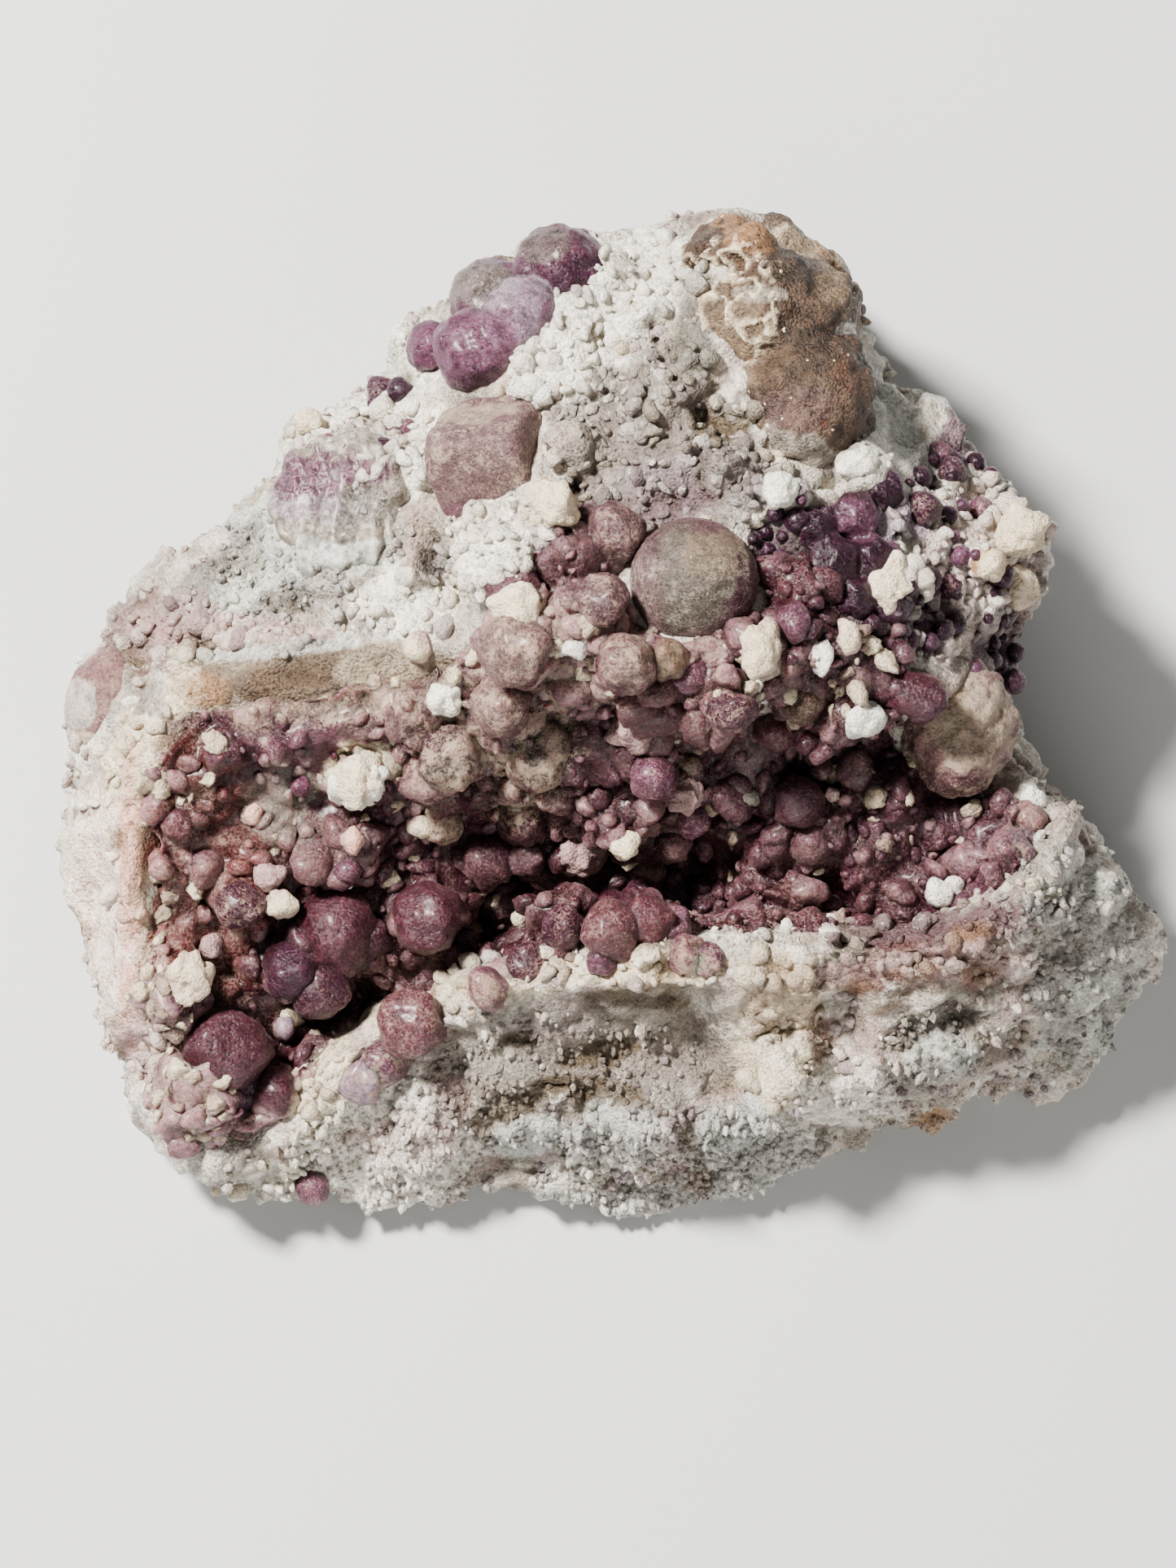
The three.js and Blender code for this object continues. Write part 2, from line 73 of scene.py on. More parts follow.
def hashed(cells: np.ndarray, seed: int, count: int = 3) -> np.ndarray:
    """Repeatable random numbers for whole-numbered cells.

    Args:
        cells: one row of three whole numbers for each cell.
        seed: which set of numbers.
        count: how many numbers each cell gets.

    Returns:
        Numbers from 0 to 1, one row for each cell.
    """
    whole = cells.astype(np.int64)
    key = (whole[:, 0] * 73856093) ^ (whole[:, 1] * 19349663) ^ (whole[:, 2] * 83492791)
    key = (key ^ (seed * 2654435761)) & 0xFFFFFFFF
    columns = []
    for _ in range(count):
        key = ((key ^ (key >> 15)) * 1274126177) & 0xFFFFFFFF
        key = key ^ (key >> 13)
        columns.append((key & 0xFFFFFF) / 0xFFFFFF)
    return np.stack(columns, axis=1)


def wander(points: np.ndarray, length: float, seed: int = 0) -> np.ndarray:
    """Smooth noise from -1 to 1.

    Args:
        points: places in millimetres.
        length: distance between its ups and downs, in millimetres.
        seed: which noise.

    Returns:
        One number for each point.
    """
    scaled = points / length
    low = np.floor(scaled).astype(np.int64)
    part = scaled - low
    part = part * part * (3 - 2 * part)
    total = np.zeros(len(points))
    for corner in product((0, 1), repeat=3):
        weight = np.prod(np.where(np.array(corner) == 1, part, 1 - part), axis=1)
        total += weight * hashed(low + np.array(corner), seed, 1)[:, 0]
    return total * 2 - 1


def rugged(points: np.ndarray, length: float, layers: int, seed: int = 0) -> np.ndarray:
    """Noise in several sizes, each half as long and half as high as the one before."""
    total = np.zeros(len(points))
    for layer in range(layers):
        total += wander(points, length / 2**layer, seed + 17 * layer) / 2**layer
    return total


def nearest_cells(
    points: np.ndarray, length: float, seed: int = 0
) -> tuple[np.ndarray, np.ndarray, np.ndarray]:
    """Finds the scattered cell that each point belongs to.

    Args:
        points: places in millimetres.
        length: size of a cell in millimetres.
        seed: which scatter.

    Returns:
        Distance to the cell's middle and the way from it, in cells, and the cell's own numbers.
    """
    scaled = points / length
    home = np.floor(scaled).astype(np.int64)
    nearest = np.full(len(points), 9.0)
    way = np.zeros((len(points), 3))
    own = np.zeros((len(points), 3))
    for step in product((-1, 0, 1), repeat=3):
        cell = home + np.array(step)
        numbers = hashed(cell, seed)
        gap = scaled - cell - numbers
        far = (gap**2).sum(axis=1)
        closer = far < nearest
        nearest[closer] = far[closer]
        way[closer] = gap[closer]
        own[closer] = numbers[closer]
    return np.sqrt(nearest), way, own


def warped(points: np.ndarray, length: float, amount: float, seed: int) -> np.ndarray:
    """Points moved about by smooth noise, which makes round things uneven."""
    moves = [wander(points, length, seed + axis) for axis in range(3)]
    return points + amount * np.stack(moves, axis=1)


def ramp(values: np.ndarray, start: float, end: float) -> np.ndarray:
    """Smooth step from 0 at start to 1 at end, whichever is larger."""
    share = np.clip((values - start) / (end - start), 0, 1)
    return share * share * (3 - 2 * share)


# Colours


TONE_GAIN = 0.98
TONE_POWER = 1.15
TONE_DEPTH = 0.44


class Tone(Enum):
    """The specimen's colours, as red, green and blue from 0 to 255."""

    WHITE = (250, 246, 236)
    ICE = (214, 215, 210)
    GREY = (192, 184, 173)
    SMOKE = (150, 144, 134)
    OAT = (200, 186, 168)
    ASH = (170, 160, 151)
    LEAD = (132, 122, 113)
    DUST = (162, 136, 132)
    OLIVE = (146, 128, 102)
    SLATE = (98, 92, 86)
    CREAM = (240, 226, 202)
    TAN = (206, 164, 122)
    ORANGE = (200, 136, 90)
    RUST = (150, 92, 66)
    UMBER = (82, 56, 44)
    SAND = (164, 144, 122)
    FAWN = (150, 134, 116)
    TAUPE = (150, 122, 126)
    BISTRE = (134, 108, 90)
    BRICK = (170, 98, 86)
    PEACH = (184, 146, 112)
    BLUSH = (214, 184, 182)
    CHALK = (208, 188, 172)
    ROSE = (172, 138, 136)
    LILAC = (184, 166, 182)
    MAUVE = (150, 102, 128)
    CLARET = (150, 98, 110)
    SHELL = (246, 204, 188)
    DUSK = (122, 70, 94)
    PLUM = (132, 78, 98)
    PURPLE = (114, 60, 96)
    GRAPE = (94, 38, 76)
    MAGENTA = (142, 66, 116)
    MAROON = (118, 50, 70)
    # painted shade only: the darkest maroon, put deep in the hollow and toward the lower side of a ball
    NIGHT = (92, 34, 52)

    def linear(self) -> np.ndarray:
        """The colour as light, for shaders, deeper in the dark because the lamps lift it."""
        share = np.array(self.value) / 255
        light = np.where(share <= 0.04045, share / 12.92, ((share + 0.055) / 1.055) ** 2.4)
        return TONE_GAIN * light**TONE_POWER * light.mean() ** TONE_DEPTH

    def paint(self) -> tuple[float, ...]:
        """The colour as a shader's socket takes it."""
        return (*self.linear(), 1.0)


@dataclass(frozen=True)
class Patch:
    """A soft-edged patch of one colour, or a marked place, given in the photograph's pixels."""

    tone: Tone
    middle: tuple[float, float]
    reach: tuple[float, float]
    strength: float
    turn_deg: float = 0.0
    edge: tuple[float, float] = (1.07, 0.93)

    def shape(self, pixels: np.ndarray, stray: np.ndarray) -> np.ndarray:
        """How far each place lies inside the patch.

        Args:
            pixels: places in the photograph.
            stray: how far the edge wanders there, as a share of the reach.

        Returns:
            From 0 outside the patch to 1 inside.
        """
        turn = math.radians(self.turn_deg)
        x, y = (pixels - np.array(self.middle)).T
        across = np.stack(
            [x * math.cos(turn) + y * math.sin(turn), y * math.cos(turn) - x * math.sin(turn)], axis=1
        )
        far = np.linalg.norm(across / np.array(self.reach), axis=1)
        return ramp(far + stray, *self.edge)

    def cover(self, pixels: np.ndarray, stray: np.ndarray) -> np.ndarray:
        """How strongly the patch shows at each place, from 0 to its strength."""
        return self.strength * self.shape(pixels, stray)


def patches(text: str) -> tuple[Patch, ...]:
    """Reads a table of patches.

    Args:
        text: rows of middle, reach, strength and, where it isn't 0, turn, with a semicolon between them.
            A row of a table that colours starts with its tone.

    Returns:
        The patches, in the same order.
    """
    rows = []
    for entry in text.split(";"):
        words = entry.split()
        tone = Tone[words.pop(0)] if words[0].isalpha() else Tone.WHITE
        x, y, wide, high, *rest = map(float, words)
        rows.append(Patch(tone, (x, y), (wide, high), *rest))
    return tuple(rows)


def edge_stray(points: np.ndarray) -> np.ndarray:
    """How far the edges of patches wander at each place, as a share of their reach."""
    return 0.3 * wander(points, 2.4, 5) + 0.22 * wander(points, 0.9, 6) + 0.16 * wander(points, 0.4, 7)


def toward(colours: np.ndarray, tone: Tone, share: np.ndarray) -> np.ndarray:
    """Colours moved to a tone, by a share from 0 to 1 for each."""
    return colours + (tone.linear() - colours) * share[:, None]


def blended(low: Tone, high: Tone, share: np.ndarray) -> np.ndarray:
    """A colour between two for each number from 0 to 1."""
    return low.linear() + (high.linear() - low.linear()) * np.clip(share, 0, 1)[:, None]


def painted(
    base: np.ndarray, pixels: np.ndarray, points: np.ndarray, layers: tuple[Patch, ...]
) -> np.ndarray:
    """Lays patches over a base colour, each over the ones before it.

    Args:
        base: a colour for each point.
        pixels: where each point shows in the photograph.
        points: the same places in millimetres, which set how the edges wander.
        layers: the patches, lowest first.

    Returns:
        The new colour of each point.
    """
    stray = edge_stray(points)
    for patch in layers:
        base = toward(base, patch.tone, patch.cover(pixels, stray))
    return base


def marked(pixels: np.ndarray, points: np.ndarray, places: tuple[Patch, ...]) -> np.ndarray:
    """How strongly each place is marked by the strongest of some patches."""
    stray = edge_stray(points)
    return np.max([patch.cover(pixels, stray) for patch in places], axis=0)


# Places


@dataclass(frozen=True)
class ShowFace:
    """How the show face lies on its base, and how the photograph sees it."""

    lean_deg: float = 15.0
    zero_mm: tuple[float, float, float] = (0.011, 1.173, 0.0)
    eye_mm: tuple[float, float, float] = (-1.22, -3.27, 362.0)
    middle_px: tuple[float, float] = (722.5, 963.5)
    px_per_unit: float = 7875.0
    picture_px: tuple[int, int] = (1445, 1927)
    sensor_mm: float = 36.0

    def turn(self) -> np.ndarray:
        """The turn from the face's own axes to the frame's."""
        lean = math.radians(self.lean_deg)
        return np.array(
            [[1, 0, 0], [0, math.cos(lean), -math.sin(lean)], [0, math.sin(lean), math.cos(lean)]]
        )

    def to_frame(self, places: np.ndarray) -> np.ndarray:
        """Places on the face, in millimetres, in the frame's metres."""
        return (np.atleast_2d(places) @ self.turn().T + np.array(self.zero_mm)) * MM

    def to_face(self, points: np.ndarray) -> np.ndarray:
        """Places in the frame's metres, in the face's own millimetres."""
        return (np.atleast_2d(points) / MM - np.array(self.zero_mm)) @ self.turn()

    def seen(self, points: np.ndarray) -> np.ndarray:
        """Where places in the frame's millimetres show in the photograph."""
        places, eye = self.to_face(points * MM), np.array(self.eye_mm)
        away = eye[2] - places[:, 2]
        across = (places[:, 0] - eye[0]) * self.px_per_unit / away
        up = (places[:, 1] - eye[1]) * self.px_per_unit / away
        return np.stack([self.middle_px[0] + across, self.middle_px[1] - up], axis=1)

    def facing(self, out: np.ndarray) -> np.ndarray:
        """How far each way out points to the viewer, from -1 to 1."""
        return (out @ self.turn())[:, 2]

    def ray(self, pixel: tuple[float, float]) -> tuple[Vector, Vector]:
        """The start and direction, in the frame, of the line of sight through a pixel."""
        across = (pixel[0] - self.middle_px[0]) / self.px_per_unit
        up = (self.middle_px[1] - pixel[1]) / self.px_per_unit
        start = self.to_frame(np.array(self.eye_mm))[0]
        return Vector(start), Vector(self.turn() @ np.array([across, up, -1.0])).normalized()

    def lens_mm(self) -> float:
        """The camera's lens for this view."""
        return self.px_per_unit / max(self.picture_px) * self.sensor_mm


FACE = ShowFace()


@dataclass
class Seats:
    """Surfaces that crystals can be set on, found along the line of sight."""

    trees: list[BVHTree] = field(default_factory=list)

    def add(self, obj: Object) -> None:
        """Lets crystals sit on this object."""
        points = [v.co.copy() for v in obj.data.vertices]
        self.trees.append(BVHTree.FromPolygons(points, [tuple(p.vertices) for p in obj.data.polygons]))

    def find(self, pixel: tuple[float, float]) -> tuple[Vector, Vector]:
        """The first surface seen through a pixel, and its way out."""
        start, way = FACE.ray(pixel)
        hits = [hit for hit in (tree.ray_cast(start, way) for tree in self.trees) if hit[0] is not None]
        if not hits:
            raise ValueError(f"nothing of the specimen is seen at {pixel}")
        place, normal, _, _ = min(hits, key=lambda hit: hit[3])
        return place, normal


# Meshes


def linked(name: str, data: ID) -> Object:
    """A new object in the scene."""
    obj = bpy.data.objects.new(name, data)
    bpy.context.scene.collection.objects.link(obj)
    return obj


def mesh_object(name: str, points: np.ndarray, faces: list, smooth: bool = True) -> Object:
    """A new object from points in metres and faces."""
    mesh = bpy.data.meshes.new(name)
    mesh.from_pydata(points.tolist(), [], faces)
    mesh.update()
    mesh.shade_smooth() if smooth else mesh.shade_flat()
    return linked(name, mesh)


def read_all(rows: bpy_prop_collection, key: str, width: int = 1) -> np.ndarray:
    """The value under a key in each row, as a number or as a row of numbers."""
    flat = np.zeros(len(rows) * width, np.float32)
    rows.foreach_get(key, flat)
    return (flat.reshape(-1, width) if width > 1 else flat).astype(float)


def points_of(mesh: Mesh) -> np.ndarray:
    """The vertices of a mesh, in millimetres."""
    return read_all(mesh.vertices, "co", 3) / MM


def normals_of(mesh: Mesh) -> np.ndarray:
    """The way out at each vertex."""
    return read_all(mesh.vertex_normals, "vector", 3)


def read_number(mesh: Mesh, name: str) -> np.ndarray:
    """The numbers stored under a name."""
    return read_all(mesh.attributes[name].data, "value")


def move_points(mesh: Mesh, points: np.ndarray) -> None:
    """Puts the vertices of a mesh in new places, given in millimetres."""
    mesh.vertices.foreach_set("co", (points * MM).astype(np.float32).ravel())
    mesh.update()


def number_on(mesh: Mesh, name: str, values: np.ndarray) -> None:
    """Stores a number at each vertex under a name."""
    attribute = mesh.attributes.get(name) or mesh.attributes.new(name, "FLOAT", "POINT")
    attribute.data.foreach_set("value", values.astype(np.float32))


def tint_on(mesh: Mesh, colours: np.ndarray, frost: np.ndarray) -> None:
    """Stores the finishes' paint at each vertex.

    Args:
        mesh: the mesh.
        colours: a colour for each vertex.
        frost: how much of the surface there is frosted, from 0 to 1.
    """
    attribute = mesh.attributes.get("tint") or mesh.attributes.new("tint", "FLOAT_COLOR", "POINT")
    rgba = np.column_stack([colours, frost])
    attribute.data.foreach_set("color", np.clip(rgba, 0, 1).astype(np.float32).ravel())


def applied(obj: Object) -> Object:
    """Turns an object's modifiers into plain mesh and takes them off."""
    bpy.context.view_layer.update()
    graph = bpy.context.evaluated_depsgraph_get()
    mesh = bpy.data.meshes.new_from_object(obj.evaluated_get(graph))
    obj.modifiers.clear()
    old = obj.data
    obj.data = mesh
    bpy.data.meshes.remove(old)
    mesh.name = obj.name
    return obj


def fine_copy(node: str, name: str, voxel_mm: float, rounds: int) -> Object:
    """An evenly fine, softened copy of a frame node.

    Args:
        node: the frame node.
        name: name of the new object.
        voxel_mm: spacing of its points.
        rounds: how often it is smoothed.

    Returns:
        The new object, with no modifiers.
    """
    work = bmesh.new()
    work.from_mesh(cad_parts[node].data)
    bmesh.ops.remove_doubles(work, verts=work.verts, dist=1e-6)
    mesh = bpy.data.meshes.new(name)
    work.to_mesh(mesh)
    work.free()
    obj = linked(name, mesh)
    remesh = obj.modifiers.new("even", "REMESH")
    remesh.mode = "VOXEL"
    remesh.voxel_size = voxel_mm * MM
    smooth = obj.modifiers.new("soften", "SMOOTH")
    smooth.factor = 0.5
    smooth.iterations = rounds
    applied(obj).data.shade_smooth()
    return obj


def round_form(detail: int) -> tuple[np.ndarray, list]:
    """The points and faces of a ball of radius 1."""
    work = bmesh.new()
    bmesh.ops.create_icosphere(work, subdivisions=detail, radius=1.0)
    points = np.array([v.co[:] for v in work.verts])
    faces = [tuple(v.index for v in f.verts) for f in work.faces]
    work.free()
    return points, faces


def crumbled(points: np.ndarray, length: float, height: float, seed: int) -> np.ndarray:
    """How far a surface swells where small round crystals cover it.

    Args:
        points: places in millimetres.
        length: size of the crystals.
        height: how far they stand out.
        seed: which scatter of them.

    Returns:
        The rise at each place, in millimetres.
    """
    far, _, own = nearest_cells(points, length, seed)
    return (0.6 - far) * (0.5 + own[:, 0]) * height


def swell_out(mesh: Mesh, rise: np.ndarray) -> None:
    """Moves the vertices of a mesh straight out, by millimetres."""
    move_points(mesh, points_of(mesh) + normals_of(mesh) * rise[:, None])


# Node trees


class Sketch:
    """Adds and links the nodes of one tree."""

    def __init__(self, tree: NodeTree) -> None:
        """Starts on a tree, which keeps what it holds."""
        self.tree = tree

    def sockets(self, in_out: str, kind: str, *names: str) -> None:
        """Gives the tree named sockets of one kind."""
        for name in names:
            self.tree.interface.new_socket(name, in_out=in_out, socket_type="NodeSocket" + kind)

    def fill(self, node: Node, inputs: dict) -> None:
        """Sets or links the inputs of a node, by name or place."""
        for key, value in inputs.items():
            if isinstance(value, NodeSocket):
                self.tree.links.new(value, node.inputs[key])
            else:
                node.inputs[key].default_value = value

    def add(self, kind: str, inputs: dict | None = None, **settings: object) -> Node:
        """Adds a node.

        Args:
            kind: the node's type.
            inputs: values or sockets for its inputs, by name or place.
            settings: its other properties.

        Returns:
            The node.
        """
        node = self.tree.nodes.new(kind)
        for name, value in settings.items():
            setattr(node, name, value)
        self.fill(node, inputs or {})
        return node

    def first(self, kind: str, inputs: dict | None = None, **settings: object) -> NodeSocket:
        """The first output of a new node."""
        return self.add(kind, inputs, **settings).outputs[0]

    def math(self, operation: str, *values: object) -> NodeSocket:
        """The result of a sum on numbers or sockets."""
        return self.first("ShaderNodeMath", dict(enumerate(values)), operation=operation)

    def times(self, one: object, other: object) -> NodeSocket:
        """One number times another."""
        return self.math("MULTIPLY", one, other)

    def plus(self, one: object, other: object) -> NodeSocket:
        """One number and another."""
        return self.math("ADD", one, other)

    def vector_math(self, operation: str, *values: object) -> NodeSocket:
        """The result of a sum on vectors or sockets."""
        return self.first("ShaderNodeVectorMath", dict(enumerate(values)), operation=operation)

    def scaled(self, vector: object, amount: object) -> NodeSocket:
        """A vector times a number."""
        return self.first("ShaderNodeVectorMath", {0: vector, "Scale": amount}, operation="SCALE")

    def ranged(self, value: object, *ends: object, **settings: object) -> NodeSocket:
        """A number carried from one range to another, or to 0 to 1 where only two ends are given."""
        return self.first("ShaderNodeMapRange", dict(enumerate((value, *ends))), **settings)

    def noise(self, place: object, scale: object, **inputs: float) -> NodeSocket:
        """Smooth noise at each place."""
        return self.first("ShaderNodeTexNoise", {"Vector": place, "Scale": scale, **inputs})

    def mixed(self, share: object, low: object, high: object) -> NodeSocket:
        """A number between two."""
        return self.first("ShaderNodeMix", {0: share, 2: low, 3: high})

    def mixed_colour(self, share: object, low: object, high: object) -> NodeSocket:
        """A colour between two."""
        return self.add("ShaderNodeMix", {0: share, 6: low, 7: high}, data_type="RGBA").outputs[2]

    def named(self, name: str) -> NodeSocket:
        """The number stored under a name."""
        return self.first("GeometryNodeInputNamedAttribute", {"Name": name}, data_type="FLOAT")

    def stored(self, geometry: object, name: str, value: object, kind: str = "FLOAT") -> NodeSocket:
        """Geometry with a value stored at its points under a name."""
        inputs = {"Geometry": geometry, "Name": name, "Value": value}
        return self.first("GeometryNodeStoreNamedAttribute", inputs, data_type=kind, domain="POINT")

    def moved(self, geometry: object, offset: object, **inputs: object) -> NodeSocket:
        """Geometry with its points moved."""
        return self.first("GeometryNodeSetPosition", {"Geometry": geometry, "Offset": offset, **inputs})

    def chance(self, seed: object, low: object = 0.0, high: object = 1.0) -> NodeSocket:
        """A random number for each point."""
        inputs = {2: low, 3: high, "Seed": seed}
        return self.add("FunctionNodeRandomValue", inputs, data_type="FLOAT").outputs[1]

    def chances(self, seed: object, low: tuple, high: tuple) -> NodeSocket:
        """A random vector for each point."""
        inputs = {0: low, 1: high, "Seed": seed}
        return self.first("FunctionNodeRandomValue", inputs, data_type="FLOAT_VECTOR")


def grain_group() -> NodeTree:
    """Shared effect: mottled colour, gloss and height of a mineral, with pale frost, lace and specks."""
    name = "mineral grain"
    if name in bpy.data.node_groups:
        return bpy.data.node_groups[name]
    draw = Sketch(bpy.data.node_groups.new(name, "ShaderNodeTree"))
    draw.sockets("INPUT", "Color", "Tint", "Frost Colour", "Speck Colour")
    draw.sockets("INPUT", "Float", "Frost", "Scale", "Depth", "Facets", "Specks", "Lace")
    draw.sockets("INPUT", "Float", "Smoothest", "Roughest")
    draw.sockets("OUTPUT", "Color", "Colour")
    draw.sockets("OUTPUT", "Float", "Roughness", "Height")
    given = draw.add("NodeGroupInput").outputs
    place = draw.add("ShaderNodeTexCoord").outputs["Object"]
    scale, frost = given["Scale"], given["Frost"]
    fine = draw.noise(place, scale, Detail=6.0, Roughness=0.7)
    broad = draw.noise(place, draw.times(scale, 0.33), Detail=3.0)
    worms = draw.noise(place, draw.times(scale, 1.1), Detail=1.5, Distortion=0.6)
    cells = draw.add("ShaderNodeTexVoronoi", {"Vector": place, "Scale": draw.times(scale, 1.7)}).outputs
    chance = draw.add("ShaderNodeSeparateColor", {"Color": cells["Color"]}).outputs
    both = draw.plus(draw.times(fine, 0.6), draw.times(broad, 0.4))
    spread = draw.ranged(both, 0.38, 0.62, -0.5, 0.5)
    facet = draw.times(draw.math("SUBTRACT", chance[1], 0.5), given["Facets"])
    shade = draw.plus(draw.plus(1.0, facet), draw.times(spread, given["Depth"]))
    tinted = draw.scaled(given["Tint"], shade)
    start = draw.math("SUBTRACT", 0.66, draw.times(frost, 0.22))
    frosted = draw.ranged(both, start, draw.plus(start, 0.1), interpolation_type="SMOOTHSTEP")
    ridge = draw.math("ABSOLUTE", draw.math("SUBTRACT", worms, 0.5))
    line = draw.ranged(ridge, 0.01, 0.05, 1.0, 0.0)
    spotty = draw.ranged(broad, 0.4, 0.55)
    lace = draw.times(draw.times(line, draw.times(frost, draw.plus(spotty, 0.5))), given["Lace"])
    pale = draw.times(draw.math("MAXIMUM", frosted, lace), 0.8)
    powdered = draw.mixed_colour(pale, tinted, given["Frost Colour"])
    speck = draw.math("LESS_THAN", chance[0], given["Specks"])
    colour = draw.mixed_colour(speck, powdered, given["Speck Colour"])
    rough = draw.ranged(fine, 0.38, 0.62, given["Smoothest"], given["Roughest"])
    dull = draw.plus(rough, draw.times(pale, 0.2))
    lumps = draw.plus(fine, draw.times(cells["Distance"], -0.6))
    height = draw.plus(lumps, draw.times(pale, 0.15))
    draw.add("NodeGroupOutput", {"Colour": colour, "Roughness": dull, "Height": height})
    return draw.tree


def glint_group() -> NodeTree:
    """Shared effect: tiny flat faces, each turned its own way, and a few of them glossy."""
    name = "crystal glints"
    if name in bpy.data.node_groups:
        return bpy.data.node_groups[name]
    draw = Sketch(bpy.data.node_groups.new(name, "ShaderNodeTree"))
    draw.sockets("INPUT", "Float", "Scale", "Tilt", "Roughness", "Shine")
    draw.sockets("OUTPUT", "Vector", "Normal")
    draw.sockets("OUTPUT", "Float", "Roughness")
    given = draw.add("NodeGroupInput").outputs
    place = draw.add("ShaderNodeTexCoord").outputs["Object"]
    cells = draw.add("ShaderNodeTexVoronoi", {"Vector": place, "Scale": given["Scale"]}).outputs["Color"]
    turned = draw.scaled(draw.vector_math("SUBTRACT", cells, (0.5, 0.5, 0.5)), given["Tilt"])
    out = draw.add("ShaderNodeNewGeometry").outputs["Normal"]
    normal = draw.vector_math("NORMALIZE", draw.vector_math("ADD", out, turned))
    chance = draw.add("ShaderNodeSeparateColor", {"Color": cells}).outputs[1]
    glossy = draw.math("LESS_THAN", chance, given["Shine"])
    rough = draw.mixed(glossy, given["Roughness"], 0.07)
    draw.add("NodeGroupOutput", {"Normal": normal, "Roughness": rough})
    return draw.tree


@dataclass(frozen=True)
class Finish:
    """How one kind of mineral surface looks. Lengths are in millimetres."""

    name: str
    slot: str
    grain_mm: float = 0.45
    depth: float = 0.35
    smoothest: float = 0.45
    roughest: float = 0.75
    bump_mm: float = 0.06
    glint_mm: float = 0.16
    tilt: float = 0.5
    shine: float = 0.12
    frost_tone: Tone = Tone.WHITE
    lace: float = 0.0
    facets: float = 0.2
    specks: float = 0.0
    speck_tone: Tone = Tone.WHITE
    ior: float = 1.54
    deep_light: float = 0.25
    deep_light_mm: float = 0.5
    deep_colour: tuple[float, float, float] = (1.0, 0.85, 0.8)
    sheen: float = 0.0
    sheen_tone: Tone = Tone.ICE
    clear: float = 0.0
    coat: float = 0.0

    def material(self) -> Material:
        """The material, made once."""
        if self.name in bpy.data.materials:
            return bpy.data.materials[self.name]
        material = bpy.data.materials.new(self.name)
        material.use_nodes = True
        draw = Sketch(material.node_tree)
        shader = material.node_tree.nodes["Principled BSDF"]
        paint = draw.add("ShaderNodeAttribute", attribute_name="tint").outputs
        grain = draw.add(
            "ShaderNodeGroup",
            {"Tint": paint["Color"], "Frost": paint["Alpha"], "Frost Colour": self.frost_tone.paint(),
             "Speck Colour": self.speck_tone.paint(), "Lace": self.lace, "Scale": 1 / (self.grain_mm * MM),
             "Depth": self.depth, "Facets": self.facets, "Specks": self.specks,
             "Smoothest": self.smoothest, "Roughest": self.roughest},
            node_tree=grain_group(),
        ).outputs
        glint = draw.add(
            "ShaderNodeGroup",
            {"Scale": 1 / (self.glint_mm * MM), "Tilt": self.tilt, "Shine": self.shine,
             "Roughness": grain["Roughness"]},
            node_tree=glint_group(),
        ).outputs
        draw.fill(shader, {
            "Base Color": grain["Colour"],
            "Roughness": glint["Roughness"],
            "Normal": draw.first("ShaderNodeBump", {
                "Height": grain["Height"], "Normal": glint["Normal"], "Distance": self.bump_mm * MM}),
            "IOR": self.ior,
            "Subsurface Weight": self.deep_light,
            "Subsurface Scale": self.deep_light_mm * MM,
            "Subsurface Radius": self.deep_colour,
            "Sheen Weight": self.sheen,
            "Sheen Roughness": 0.4,
            "Sheen Tint": self.sheen_tone.paint(),
            "Transmission Weight": self.clear,
            "Coat Weight": self.coat,
            "Coat Roughness": 0.25,
        })
        return material


QUARTZ = Finish(
    "sugary quartz", "white_quartz", grain_mm=0.32, depth=0.55, smoothest=0.35, roughest=0.7, bump_mm=0.2,
    glint_mm=0.13, tilt=0.8, shine=0.16, facets=0.4, deep_light=0.2,
)
KNOB_QUARTZ = Finish(
    "powdery quartz", "white_quartz", grain_mm=0.3, depth=0.35, smoothest=0.55, roughest=0.9, bump_mm=0.18,
    glint_mm=0.1, tilt=0.6, facets=0.2, deep_light=0.25,
)
FLUORITE = Finish(
    "frosted purple fluorite", "purple_fluorite", grain_mm=0.3, depth=0.7, smoothest=0.16, roughest=0.5,
    bump_mm=0.08, glint_mm=0.13, tilt=0.45, shine=0.2, frost_tone=Tone.CHALK, lace=1.0, facets=0.3, ior=1.434,
    deep_light=0.8, deep_light_mm=1.4, deep_colour=(1.0, 0.42, 0.62), sheen=0.2, sheen_tone=Tone.BLUSH,
    clear=0.15, coat=0.22,
)
GREY_FLUORITE = Finish(
    "frosted grey fluorite", "grey_fluorite", grain_mm=0.22, depth=0.5, smoothest=0.45, roughest=0.7,
    bump_mm=0.05, glint_mm=0.1, tilt=0.5, frost_tone=Tone.GREY, lace=0.9, facets=0.4, ior=1.434,
    deep_light=0.6, deep_light_mm=1.2, deep_colour=(1.0, 0.85, 0.82), sheen=0.2, sheen_tone=Tone.BLUSH,
)
MAUVE_FLUORITE = Finish(
    "mottled mauve fluorite", "mauve_fluorite", grain_mm=0.3, depth=0.7, smoothest=0.35, roughest=0.65,
    bump_mm=0.12, glint_mm=0.12, tilt=0.55, frost_tone=Tone.OAT, lace=1.2, facets=0.4, ior=1.434,
    deep_light=0.6, deep_light_mm=0.9, deep_colour=(1.0, 0.7, 0.75), sheen=0.2, sheen_tone=Tone.BLUSH,
)
